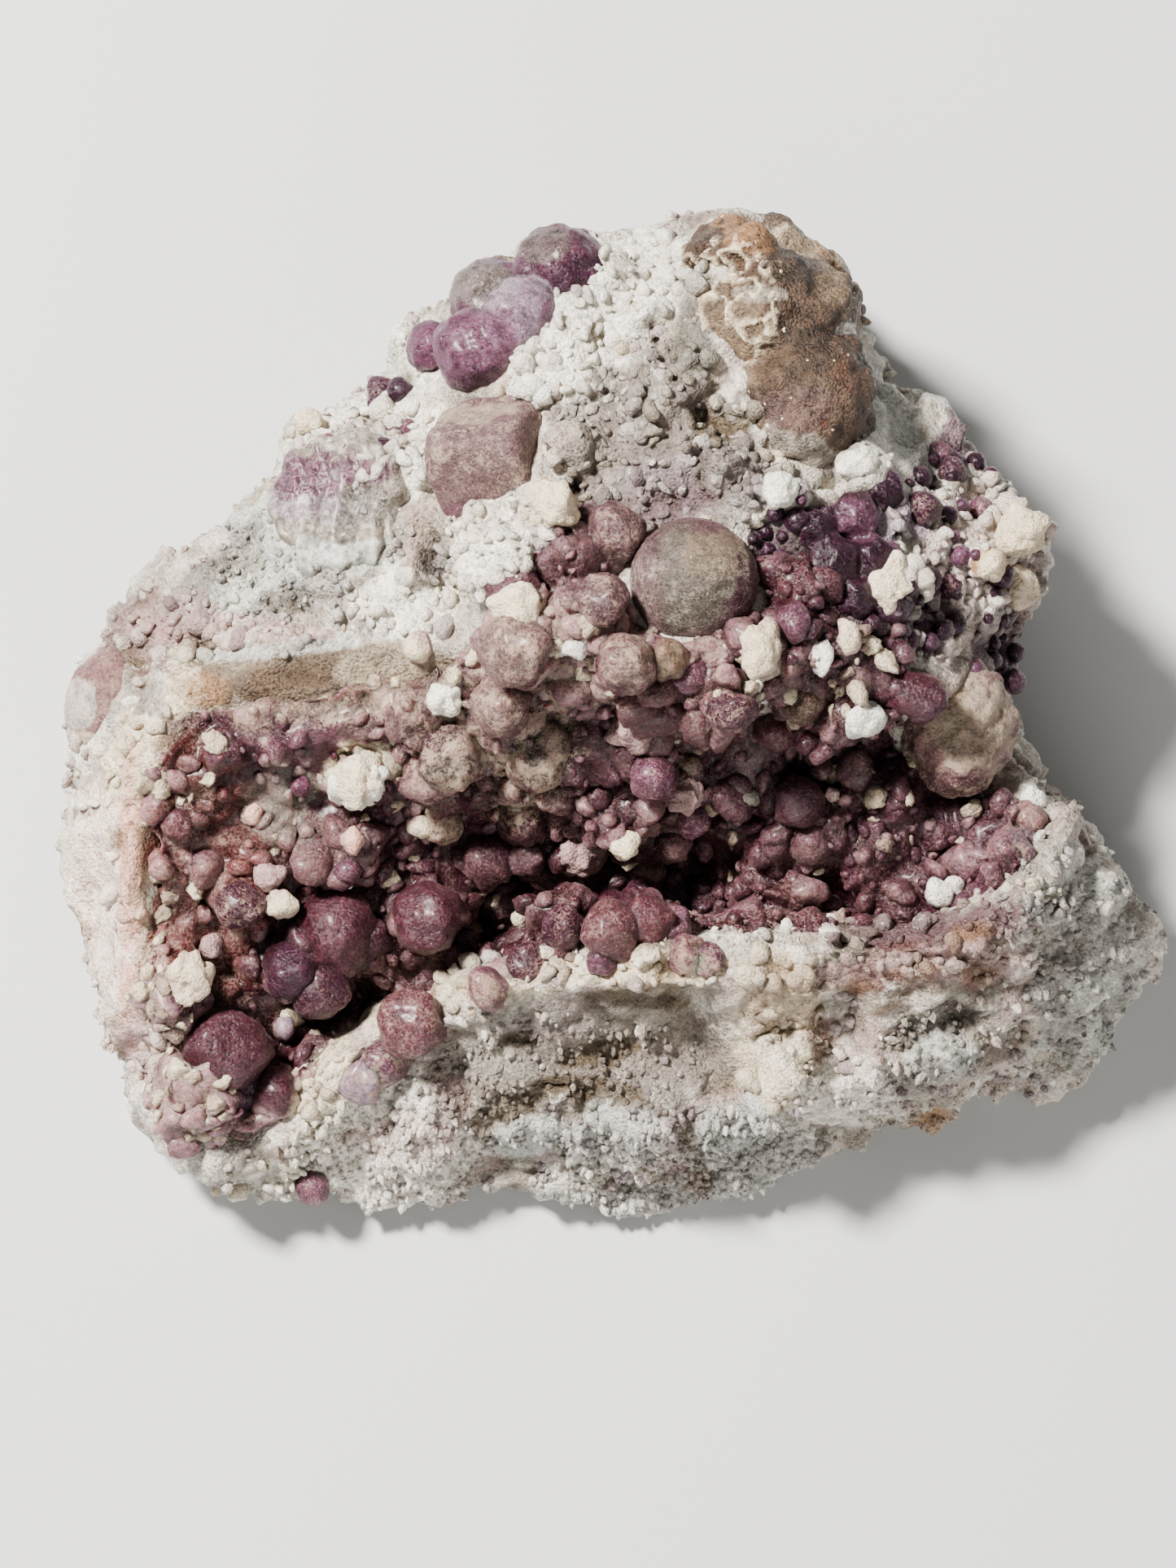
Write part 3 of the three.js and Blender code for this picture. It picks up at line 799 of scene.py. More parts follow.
PINK_FLUORITE = Finish(
    "dusty pink fluorite", "pink_fluorite", grain_mm=0.24, depth=0.45, smoothest=0.4, roughest=0.6,
    bump_mm=0.06, glint_mm=0.1, tilt=0.4, frost_tone=Tone.OAT, lace=0.9, facets=0.35, ior=1.434,
    deep_light=0.6, deep_light_mm=1.2, deep_colour=(1.0, 0.8, 0.8), sheen=0.2, sheen_tone=Tone.BLUSH,
)
PALE_FLUORITE = Finish(
    "glassy pale fluorite", "pale_fluorite", grain_mm=0.45, depth=0.8, smoothest=0.15, roughest=0.45,
    bump_mm=0.12, glint_mm=0.3, tilt=0.5, frost_tone=Tone.WHITE, lace=0.8, facets=0.5, ior=1.434,
    deep_light=0.6, deep_light_mm=1.4, clear=0.2, coat=0.2,
)
DARK_FLUORITE = Finish(
    "dark grape fluorite", "dark_fluorite", grain_mm=0.3, depth=0.8, smoothest=0.2, roughest=0.5,
    bump_mm=0.07, glint_mm=0.11, tilt=0.5, shine=0.18, frost_tone=Tone.LILAC, lace=0.6, facets=0.4,
    ior=1.434, deep_light=0.7, deep_light_mm=0.9, deep_colour=(1.0, 0.45, 0.85), sheen=0.25,
    sheen_tone=Tone.LILAC, clear=0.15, coat=0.2,
)
STAINED_QUARTZ = Finish(
    "iron-stained quartz", "stained_quartz", grain_mm=0.26, depth=1.1, smoothest=0.35, roughest=0.7,
    bump_mm=0.14, glint_mm=0.12, tilt=0.6, frost_tone=Tone.OAT, lace=0.45, facets=0.4, specks=0.006,
    speck_tone=Tone.CREAM, deep_light=0.25, deep_light_mm=0.6, deep_colour=(1.0, 0.85, 0.7),
)


# Growth over a surface


SOCKET_KINDS = {int: "Int", float: "Float", tuple: "Vector", Material: "Material"}


@dataclass
class Growth:
    """Crystals scattered over a surface, where it is marked for them. Lengths are in millimetres."""

    name: str
    finish: Finish
    spacing_mm: float
    smallest_mm: float
    largest_mm: float
    seed: int = 1
    crowding: float = 1.4

    def values(self) -> dict[str, object]:
        """What the inputs of the tree are set to."""
        return {
            "Spacing": self.spacing_mm * MM,
            "Smallest": self.smallest_mm * MM,
            "Largest": self.largest_mm * MM,
            "Seed": self.seed,
            "Finish": self.finish.material(),
        }

    def crystal(self, draw: Sketch) -> NodeSocket:
        """One crystal, a unit thick, with its tip marked on it."""
        raise NotImplementedError

    def placing(self, draw: Sketch, given: object, spread: object, chance: object) -> tuple:
        """A shift, a turn and a size for each crystal.

        Args:
            draw: the tree.
            given: its inputs.
            spread: the outputs of the scatter.
            chance: the crystal's own number from 0 to 1.

        Returns:
            The sockets of the shift, the turn and the size.
        """
        raise NotImplementedError

    def shaped(self, draw: Sketch, given: object, grown: object) -> NodeSocket:
        """The joined crystals with their last shape."""
        return grown

    def tree(self) -> NodeTree:
        """The tree that scatters the crystals, sets them and joins them in one mesh."""
        draw = Sketch(bpy.data.node_groups.new(self.name + " growth", "GeometryNodeTree"))
        draw.sockets("INPUT", "Geometry", "Surface")
        for name, value in self.values().items():
            draw.sockets("INPUT", SOCKET_KINDS[type(value)], name)
        draw.sockets("OUTPUT", "Geometry", "Grown")
        given = draw.add("NodeGroupInput").outputs
        crowd = draw.math("DIVIDE", self.crowding, draw.times(given["Spacing"], given["Spacing"]))
        spread = draw.add(
            "GeometryNodeDistributePointsOnFaces",
            {"Mesh": given["Surface"], "Distance Min": given["Spacing"], "Density Max": crowd,
             "Density Factor": draw.named("where"), "Seed": given["Seed"]},
            distribute_method="POISSON",
        ).outputs
        place = draw.first("GeometryNodeInputPosition")
        seated = draw.stored(spread["Points"], "seat", place, "FLOAT_VECTOR")
        chance = draw.chance(given["Seed"])
        shift, turn, size = self.placing(draw, given, spread, chance)
        points = draw.moved(draw.stored(seated, "shade", chance), shift)
        placed = draw.first(
            "GeometryNodeInstanceOnPoints",
            {"Points": points, "Instance": self.crystal(draw), "Rotation": turn, "Scale": size},
        )
        grown = self.shaped(draw, given, draw.first("GeometryNodeRealizeInstances", {0: placed}))
        done = draw.first("GeometryNodeSetMaterial", {"Geometry": grown, "Material": given["Finish"]})
        draw.add("NodeGroupOutput", {"Grown": done})
        return draw.tree

    def grow(self, ground: Object, **marks: np.ndarray) -> Object:
        """Grows the crystals on a surface.

        Args:
            ground: the surface.
            marks: numbers for each of its vertices: where, how thick they stand, from 0 to 1, and for
                balls bulk, how large they are, as a share of their usual size.

        Returns:
            The crystals as one plain mesh, with the numbers seat, shade and tip on it.
        """
        obj = linked(self.name, ground.data.copy())
        for name, numbers in marks.items():
            number_on(obj.data, name, numbers)
        modifier = obj.modifiers.new("growth", "NODES")
        modifier.node_group = self.tree()
        values = self.values()
        for item in modifier.node_group.interface.items_tree:
            if item.name in values:
                modifier[item.identifier] = values[item.name]
        return applied(obj)


@dataclass
class Balls(Growth):
    """Small lumpy balls."""

    detail: int = 2
    lift: float = 0.35
    lumps_mm: float = 0.1
    lump_length_mm: float = 0.8
    skew: float = 1.7

    def values(self) -> dict[str, object]:
        """What the inputs of the tree are set to."""
        own = {"Lift": self.lift, "Lumps": 2 * self.lumps_mm * MM, "Lump Length": self.lump_length_mm * MM}
        return super().values() | own

    def crystal(self, draw: Sketch) -> NodeSocket:
        """One ball, with its tip marked on it."""
        ball = draw.first("GeometryNodeMeshIcoSphere", {"Radius": 1.0, "Subdivisions": self.detail})
        place = draw.first("GeometryNodeInputPosition")
        return draw.stored(ball, "tip", draw.add("ShaderNodeSeparateXYZ", {0: place}).outputs[2])

    def placing(self, draw: Sketch, given: object, spread: object, chance: object) -> tuple:
        """Lifts, spins and sizes the balls, most of them small."""
        luck = draw.math("POWER", draw.chance(draw.plus(given["Seed"], 3.0)), self.skew)
        radius = draw.times(draw.mixed(luck, given["Smallest"], given["Largest"]), draw.named("bulk"))
        spin = draw.chances(given["Seed"], (0.0, 0.0, 0.0), (0.0, 0.0, 6.28))
        turned = draw.first(
            "FunctionNodeRotateRotation",
            {0: spread["Rotation"], 1: draw.first("FunctionNodeEulerToRotation", {0: spin})},
            rotation_space="LOCAL",
        )
        return draw.scaled(spread["Normal"], draw.times(radius, given["Lift"])), turned, radius

    def shaped(self, draw: Sketch, given: object, grown: object) -> NodeSocket:
        """The balls with lumps on them."""
        place = draw.first("GeometryNodeInputPosition")
        rough = draw.noise(place, draw.math("DIVIDE", 1.0, given["Lump Length"]))
        swell = draw.times(draw.math("SUBTRACT", rough, 0.5), given["Lumps"])
        lumpy = draw.moved(grown, draw.scaled(draw.first("GeometryNodeInputNormal"), swell))
        return draw.first("GeometryNodeSetShadeSmooth", {0: lumpy})


@dataclass
class Comb(Growth):
    """Pointed quartz prisms that stand side by side."""

    spacing_mm: float = 0.33
    smallest_mm: float = 0.08
    largest_mm: float = 0.3
    tallness: float = 3.0
    lean: float = 0.5
    way: tuple[float, float, float] = (0.1, -1.0, -0.1)
    aside: float = 0.45
    sunk: float = 0.45

    def values(self) -> dict[str, object]:
        """What the inputs of the tree are set to."""
        own = {"Tallness": self.tallness, "Lean": self.lean, "Way": tuple(FACE.turn() @ np.array(self.way))}
        return super().values() | own

    def crystal(self, draw: Sketch) -> NodeSocket:
        """One six-sided prism with a pointed end, standing on its base, with its tip marked on it."""
        cone = draw.first(
            "GeometryNodeMeshCone",
            {"Vertices": 6, "Side Segments": 2, "Radius Top": 0.0, "Radius Bottom": 1.0, "Depth": 2.0},
            fill_type="NGON",
        )
        place = draw.first("GeometryNodeInputPosition")
        height = draw.add("ShaderNodeSeparateXYZ", {0: place}).outputs[2]
        ring = draw.math("COMPARE", height, 1.0, 0.2)
        prism = draw.moved(cone, draw.vector_math("MULTIPLY", place, (0.85, 0.85, 0.4)), Selection=ring)
        return draw.stored(prism, "tip", draw.math("DIVIDE", height, 2.0))

    def placing(self, draw: Sketch, given: object, spread: object, chance: object) -> tuple:
        """Leans the prisms one way, makes them long and sinks them."""
        aside = draw.chances(given["Seed"], (-self.aside,) * 3, (self.aside,) * 3)
        leaned = draw.vector_math("ADD", spread["Normal"], draw.scaled(given["Way"], given["Lean"]))
        heading = draw.vector_math("NORMALIZE", draw.vector_math("ADD", leaned, aside))
        turned = draw.first("FunctionNodeAlignRotationToVector", {"Vector": heading}, axis="Z")
        thick = draw.chance(draw.plus(given["Seed"], 2.0), given["Smallest"], given["Largest"])
        long = draw.times(thick, draw.times(given["Tallness"], draw.plus(chance, 0.5)))
        size = draw.first("ShaderNodeCombineXYZ", {0: thick, 1: thick, 2: draw.math("DIVIDE", long, 2.0)})
        return draw.scaled(heading, draw.times(long, -self.sunk)), turned, size


def kept_in(mesh: Mesh) -> None:
    """Presses what stands out of the solids' box back to within a little of it."""
    low, high = (np.array(corner) / MM for corner in CAD_BOX)
    points = points_of(mesh)
    over, under = np.maximum(points - high, 0), np.maximum(low - points, 0)
    points += BOX_GIVE_MM * np.tanh(over / BOX_GIVE_MM) - over
    points += under - BOX_GIVE_MM * np.tanh(under / BOX_GIVE_MM)
    points[:, 2] = np.maximum(points[:, 2], 0)
    move_points(mesh, points)


def dressed(obj: Object, finish: Finish, *nodes: str) -> Object:
    """Gives a finished piece its material and body, and hides the frame nodes that it stands for."""
    kept_in(obj.data)
    obj.data.materials.clear()
    obj.data.materials.append(finish.material())
    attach(obj, BODY)
    if nodes:
        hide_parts(*nodes)
    log.info("%s: %d faces", obj.name, len(obj.data.polygons))
    return obj


# Crystals


@dataclass(frozen=True)
class Bead:
    """One crystal ball, set where it shows in the photograph."""

    pixel: tuple[float, float]
    radius_px: float
    tone: Tone
    # the colour toward the surface the ball sits on: partly its own, partly painted shade
    foot: Tone
    sink: float = 0.3
    frost: float = 0.35
    long: float = 1.0


def beads(text: str) -> tuple[Bead, ...]:
    """Reads a table of balls.

    Args:
        text: rows of pixel, radius, tone, foot and, where they aren't the usual, sink, frost and
            length, with a semicolon between them.

    Returns:
        The balls, in the same order.
    """
    rows = []
    for entry in text.split(";"):
        x, y, radius, tone, foot, *rest = entry.split()
        rows.append(Bead((float(x), float(y)), float(radius), Tone[tone], Tone[foot], *map(float, rest)))
    return tuple(rows)


@dataclass
class Beads:
    """Crystal balls of one finish, each set one by one, in one mesh.

    Each of lumps is a step in the noise, a length, a height as a share of rough and a seed.
    """

    name: str
    finish: Finish
    beads: tuple[Bead, ...]
    rough: float = 0.1
    large_px: float = 18.0
    lumps: tuple[tuple[int, float, float, int], ...] = (
        (5, 1.0, 1.4, 80), (3, 0.5, 0.5, 0), (9, 0.26, 0.3, 50),
    )

    def build(self, seats: Seats, *nodes: str) -> Object:
        """Sets the balls on the surfaces behind their pixels.

        Args:
            seats: the surfaces.
            nodes: frame nodes that the balls stand for with others.

        Returns:
            The finished piece.
        """
        points, faces, tints, frosts = [], [], [], []
        count = 0
        for number, bead in enumerate(self.beads):
            place, out = seats.find(bead.pixel)
            away = FACE.eye_mm[2] - FACE.to_face(np.array(place))[0, 2]
            radius = bead.radius_px * away / FACE.px_per_unit
            form, sides = round_form(4 if bead.radius_px > self.large_px else 3)
            swell = 1 + self.rough * rugged(form * 1.6 + 7 * number, 1.3, 3, number)
            for step, length, height, seed in self.lumps:
                swell += crumbled(form * radius + step * number, length, height * self.rough, number + seed)
            shape = warped(form * swell[:, None] * radius + 5 * number, 0.9 * radius, 0.17 * radius, number)
            shape = ((shape - 5 * number) @ FACE.turn()) * np.array([1, bead.long, 1]) @ FACE.turn().T
            way = np.array((out + Vector(FACE.turn()[:, 2])).normalized())
            middle = np.array(place) / MM + way * radius * (1 - 2 * bead.sink)
            points.append((middle + shape) * MM)
            faces += [tuple(v + count for v in side) for side in sides]
            count += len(form)
            # Each ball runs from its tone on the outer side to its foot tone toward the surface it sits on;
            # the foot tones, mostly darker, are partly its own colour and partly painted shade.
            high = ramp(form @ way + 0.6 * rugged(form + number, 0.7, 3, number), -0.6, 0.9)
            tints.append(blended(bead.foot, bead.tone, high))
            frosts.append(bead.frost * (0.4 + high))
        obj = mesh_object(self.name, np.concatenate(points), faces)
        tint_on(obj.data, np.concatenate(tints), np.concatenate(frosts))
        return dressed(obj, self.finish, *nodes)


STREAKED = np.array([1.0, 0.22, 0.4])


def streaks_at(points: np.ndarray) -> np.ndarray:
    """Places drawn together along the streaks, so that round crystals turn into long ones."""
    return FACE.to_face(points * MM) * STREAKED


@dataclass
class Crystal:
    """A crystal of its own, made from its frame node. Lengths are in millimetres.

    Each of lumps, cells and streaks is a length and a height.
    """

    node: str
    finish: Finish
    low: Tone
    high: Tone
    voxel_mm: float = 0.16
    rounds: int = 6
    lumps: tuple[tuple[float, float], ...] = ((1.6, 0.12), (0.5, 0.04))
    cells: tuple[tuple[float, float], ...] = ()
    streaks: tuple[tuple[float, float], ...] = ()
    patches: tuple[Patch, ...] = ()
    veins: tuple[Patch, ...] = ()
    vein_mm: float = 0.35
    frost: float = 0.35
    bend: float = 0.0
    bend_mm: float = 1.6
    proud_mm: float = 0.0
    seed: int = 1

    def build(self) -> Object:
        """The finished crystal."""
        obj = fine_copy(self.node, self.node + "_skin", self.voxel_mm, self.rounds)
        mesh = obj.data
        points, out = points_of(mesh), normals_of(mesh)
        pixels = FACE.seen(points)
        swell = np.full(len(points), self.proud_mm)
        for length, height in self.lumps:
            swell += height * wander(points, length, self.seed + int(10 * length))
        for length, height in self.cells:
            swell += crumbled(points, length, height, self.seed + 3)
        for length, height in self.streaks:
            swell += crumbled(streaks_at(points), length, height, self.seed + 5)
        for vein in self.veins:
            swell += self.vein_mm * self.crossed(vein, points, pixels)
        move_points(mesh, warped(points + out * swell[:, None], self.bend_mm, self.bend, self.seed + 60))
        share = ramp(FACE.facing(out) + 0.5 * rugged(points, 1.1, 3, self.seed), -0.5, 0.9)[:, None]
        colours = self.low.linear() * (1 - share) + self.high.linear() * share
        colours = painted(colours, pixels, points, self.patches)
        for vein in self.veins:
            colours = toward(colours, vein.tone, self.crossed(vein, points, pixels))
        tint_on(mesh, colours, self.frost * (1 + 0.6 * wander(points, 1.8, self.seed + 50)))
        return dressed(obj, self.finish, self.node)

    def crossed(self, vein: Patch, points: np.ndarray, pixels: np.ndarray) -> np.ndarray:
        """How strongly the veins in a patch cross each place, from 0 to 1."""
        line = 1 - np.abs(rugged(points, 1.5, 3, self.seed + 40)) * 5
        return np.clip(line, 0, 1) * vein.cover(pixels, np.zeros(len(points)))


HOLLOW_BEADS = beads("""
    695 1138 28 DUSK PURPLE .4; 752 1142 38 CLARET DUSK .4 .4; 790 1132 34 CLARET DUSK .4 .2;
    825 1140 28 MAUVE DUSK .4; 842 1172 26 ROSE MAUVE .4 .7; 870 1180 22 MAUVE DUSK .4 .7;
    740 1180 20 MAUVE PURPLE .4; 600 1215 26 ROSE MAUVE .45 .7; 622 1200 22 BLUSH MAUVE .4 .7;
    650 1186 26 DUSK PURPLE .45; 790 1075 25 ROSE ROSE .1; 720 1075 20 LILAC MAUVE .1;
    845 1000 22 MAUVE PURPLE .1; 545 930 40 LEAD PLUM .3 .8; 536 1003 28 FAWN DUSK .3 .7;
    662 922 46 LEAD PLUM .3 .9; 739 739 34 TAUPE DUSK .4 .6; 755 656 38 TAUPE DUSK .4 .5;
    901 872 28 DUSK PURPLE .3 .5; 952 898 24 CLARET DUSK .3 .3; 987 860 27 BISTRE DUSK;
    978 764 24 MAUVE PURPLE; 974 812 20 ROSE PURPLE; 802 949 30 MAUVE DUSK; 844 952 22 TAUPE DUSK .3 .7;
    428 1066 17 MAUVE PURPLE; 392 1075 17 DUSK PURPLE; 469 970 18 PURPLE GRAPE; 371 964 13 MAGENTA MAUVE;
    249 1066 24 ROSE MAUVE .4; 217 1009 20 CLARET DUSK .4; 294 1111 28 DUSK PURPLE .4 .5;
    620 860 40 DUST PLUM .3 .6; 770 815 40 DUST PLUM .3 .6; 815 810 30 SAND MAUVE; 845 830 26 MAUVE PLUM;
    640 800 45 DUST PLUM .3 .6; 405 1148 52 PLUM MAROON .3 .1; 442 1158 38 DUSK MAROON .3 .1;
    395 1212 36 DUSK GRAPE .3 .2; 355 1192 34 PURPLE NIGHT .3 .1; 528 1130 44 PLUM MAROON .3 .12;
    278 1295 52 PLUM MAROON .3 .1; 300 1330 30 PURPLE MAROON .3 .1; 350 1262 14 LILAC LILAC 0;
    508 1258 42 CLARET DUSK .4 .4; 470 1300 32 MAUVE DUSK .4 .7; 440 1330 26 LILAC MAUVE .4 .7;
    1262 1012 26 ROSE PURPLE .4; 1135 625 20 PURPLE GRAPE; 1150 560 18 MAUVE PURPLE;
    1170 585 18 PURPLE GRAPE; 1205 630 16 MAUVE PURPLE; 1165 720 16 PURPLE GRAPE; 402 546 13 MAGENTA MAUVE;
    500 525 10 MAUVE MAUVE; 485 530 10 MAUVE MAUVE; 470 480 18 PURPLE GRAPE; 385 1460 20 MAUVE DUSK
""")

PALE_BEADS = beads("""
    434 1034 16 SHELL BLUSH .15; 313 999 12 SHELL BLUSH .15; 339 1111 18 CREAM BLUSH .15;
    425 1079 11 WHITE BLUSH .15; 477 1082 13 CREAM BLUSH .15; 227 1206 24 CREAM BLUSH .3 .35 1.3;
    256 1162 15 BLUSH ROSE; 508 1053 8 CREAM CREAM .15; 920 978 12 GREY ICE .15; 1022 978 9 BLUSH BLUSH .15;
    515 796 17 CREAM BLUSH .2; 709 796 13 WHITE LILAC .2; 1040 788 15 CREAM BLUSH .2 .35 1.3;
    1006 806 12 WHITE LILAC .2 .35 1.8; 592 858 12 CREAM ROSE .2; 710 1035 30 BLUSH BLUSH .1;
    765 1030 17 CREAM CREAM 0; 640 1125 14 CREAM CREAM 0; 838 975 22 BLUSH BLUSH .1;
    775 900 26 BLUSH ROSE .1; 935 800 25 CREAM BLUSH .3 .35 1.3; 640 745 30 CREAM WHITE;
    680 625 28 CREAM CREAM; 923 700 12 CREAM CREAM; 545 860 20 WHITE CREAM; 960 600 20 WHITE WHITE;
    1098 715 22 CREAM WHITE .3 .35 1.3; 1210 690 20 CREAM TAN; 1255 650 32 CREAM CREAM;
    1250 720 22 CREAM BLUSH; 1050 570 20 WHITE GREY; 378 520 16 CREAM CREAM; 450 950 32 CREAM WHITE .15;
    425 960 22 WHITE CREAM .15; 515 1010 16 CREAM BLUSH .1; 330 1080 18 BLUSH BLUSH .1;
    1155 1098 17 WHITE LILAC .25; 1172 1092 12 WHITE LILAC .25; 1265 985 16 WHITE WHITE .1;
    1060 880 22 WHITE ICE .1
""")

CRYSTALS = [
    Crystal(
        "grey_fluorite_ball", GREY_FLUORITE, Tone.DUSK, Tone.LEAD, rounds=8, frost=0.5,
        lumps=((2.2, 0.14), (0.5, 0.04)), cells=((0.45, 0.06),),
        patches=patches("""
            TAUPE 790 735 34 70 .7; LEAD 850 730 60 50 .5; SAND 885 685 44 34 .5; DUSK 925 760 44 64 .8;
            DUSK 890 640 50 16 .5; TAUPE 850 795 80 22 .6
        """),
    ),
    Crystal(
        "right_fluorite_ball", MAUVE_FLUORITE, Tone.MAUVE, Tone.ROSE, proud_mm=0.25, frost=0.8,
        lumps=((1.5, 0.3), (0.5, 0.1)), cells=((0.9, 0.35), (0.4, 0.14)),
        # The narrow dusk patch on the ball's left side is a painted shadow of the overhang above it.
        patches=patches("""
            OAT 1185 890 44 50 .7; PEACH 1165 855 16 14 .4; DUSK 1112 905 24 80 .6; DUSK 1160 965 60 20 .6
        """),
    ),
    Crystal(
        "left_fluorite_ball", MAUVE_FLUORITE, Tone.TAUPE, Tone.ROSE, proud_mm=0.5, bend=0.2, frost=0.6,
        lumps=((1.5, 0.25), (0.5, 0.08)), cells=((0.9, 0.2),),
        # The small ice patch is a painted highlight.
        patches=patches("""
            ROSE 112 850 44 40 .5; ICE 104 872 24 26 .6 20; CREAM 110 905 40 12 .6
        """),
    ),
    Crystal(
        "pink_fluorite_crystal", PINK_FLUORITE, Tone.DUSK, Tone.TAUPE, rounds=60,
        lumps=((2.4, 0.25), (0.9, 0.1)), cells=((0.45, 0.08),), frost=0.55, proud_mm=0.15,
        patches=patches("""
            TAUPE 570 600 70 60 .7; OAT 590 512 50 12 .5 -8; MAUVE 600 628 60 14 .6
        """),
    ),
    Crystal(
        "cleaved_fluorite_crystal", PALE_FLUORITE, Tone.ASH, Tone.GREY, rounds=16, bend=0.35,
        lumps=((2.0, 0.3), (0.8, 0.1)), cells=((0.7, 0.12),), streaks=((1.1, 0.7), (0.5, 0.3)), frost=0.28,
        patches=patches("""
            LILAC 400 612 90 40 .7; MAUVE 405 585 90 30 .9; SMOKE 455 620 50 30 .8; LEAD 425 650 16 34 .6;
            LEAD 480 600 12 30 .6 20; ICE 400 700 90 40 .9
        """),
    ),
    Crystal(
        "top_fluorite_cluster", DARK_FLUORITE, Tone.PURPLE, Tone.MAUVE, rounds=9, frost=0.3,
        lumps=((1.6, 0.3), (0.7, 0.1)), cells=((0.6, 0.12),),
        patches=patches("""
            SMOKE 590 345 46 34 .85; DUSK 690 320 60 50 .85; SMOKE 665 300 35 22 .5;
            PURPLE 715 345 40 28 .8; MAGENTA 735 355 18 16 .5; LILAC 640 385 48 40 .7;
            MAGENTA 678 395 14 28 .6; MAUVE 585 430 55 50 .8; PURPLE 600 475 40 24 .8;
            MAGENTA 515 430 30 26 .35
        """),
    ),
    Crystal(
        "fluorite_grape_cluster", DARK_FLUORITE, Tone.MAROON, Tone.GRAPE, rounds=7, frost=0.2,
        lumps=((1.0, 0.14), (0.4, 0.05)), cells=((0.5, 0.08),),
        patches=patches("""
            MAUVE 1060 640 40 30 .6
        """),
    ),
    Crystal(
        "stained_quartz_cap", STAINED_QUARTZ, Tone.UMBER, Tone.BISTRE, voxel_mm=0.19, rounds=30,
        lumps=((3.2, 0.5), (1.4, 0.3), (0.6, 0.1)), cells=((1.6, 0.4), (0.7, 0.18)), frost=0.3,
        veins=patches("CREAM 885 385 72 100 1"),
        patches=patches("""
            SAND 890 400 50 60 .7; PEACH 925 287 40 28 .9; UMBER 965 328 34 24 .7; GREY 930 360 40 14 .6;
            SAND 900 450 26 60 .8; SAND 960 470 60 55 .25; UMBER 985 430 34 60 .3 -15;
            SAND 1040 350 30 60 .7; GREY 960 560 90 32 .8; RUST 1045 460 16 30 .3 -20;
            UMBER 930 500 30 16 .6; UMBER 1000 425 20 34 .5 20; TAUPE 985 500 40 26 .4;
            WHITE 1035 405 18 12 .8; RUST 1013 520 6 6 .85
        """),
    ),
]
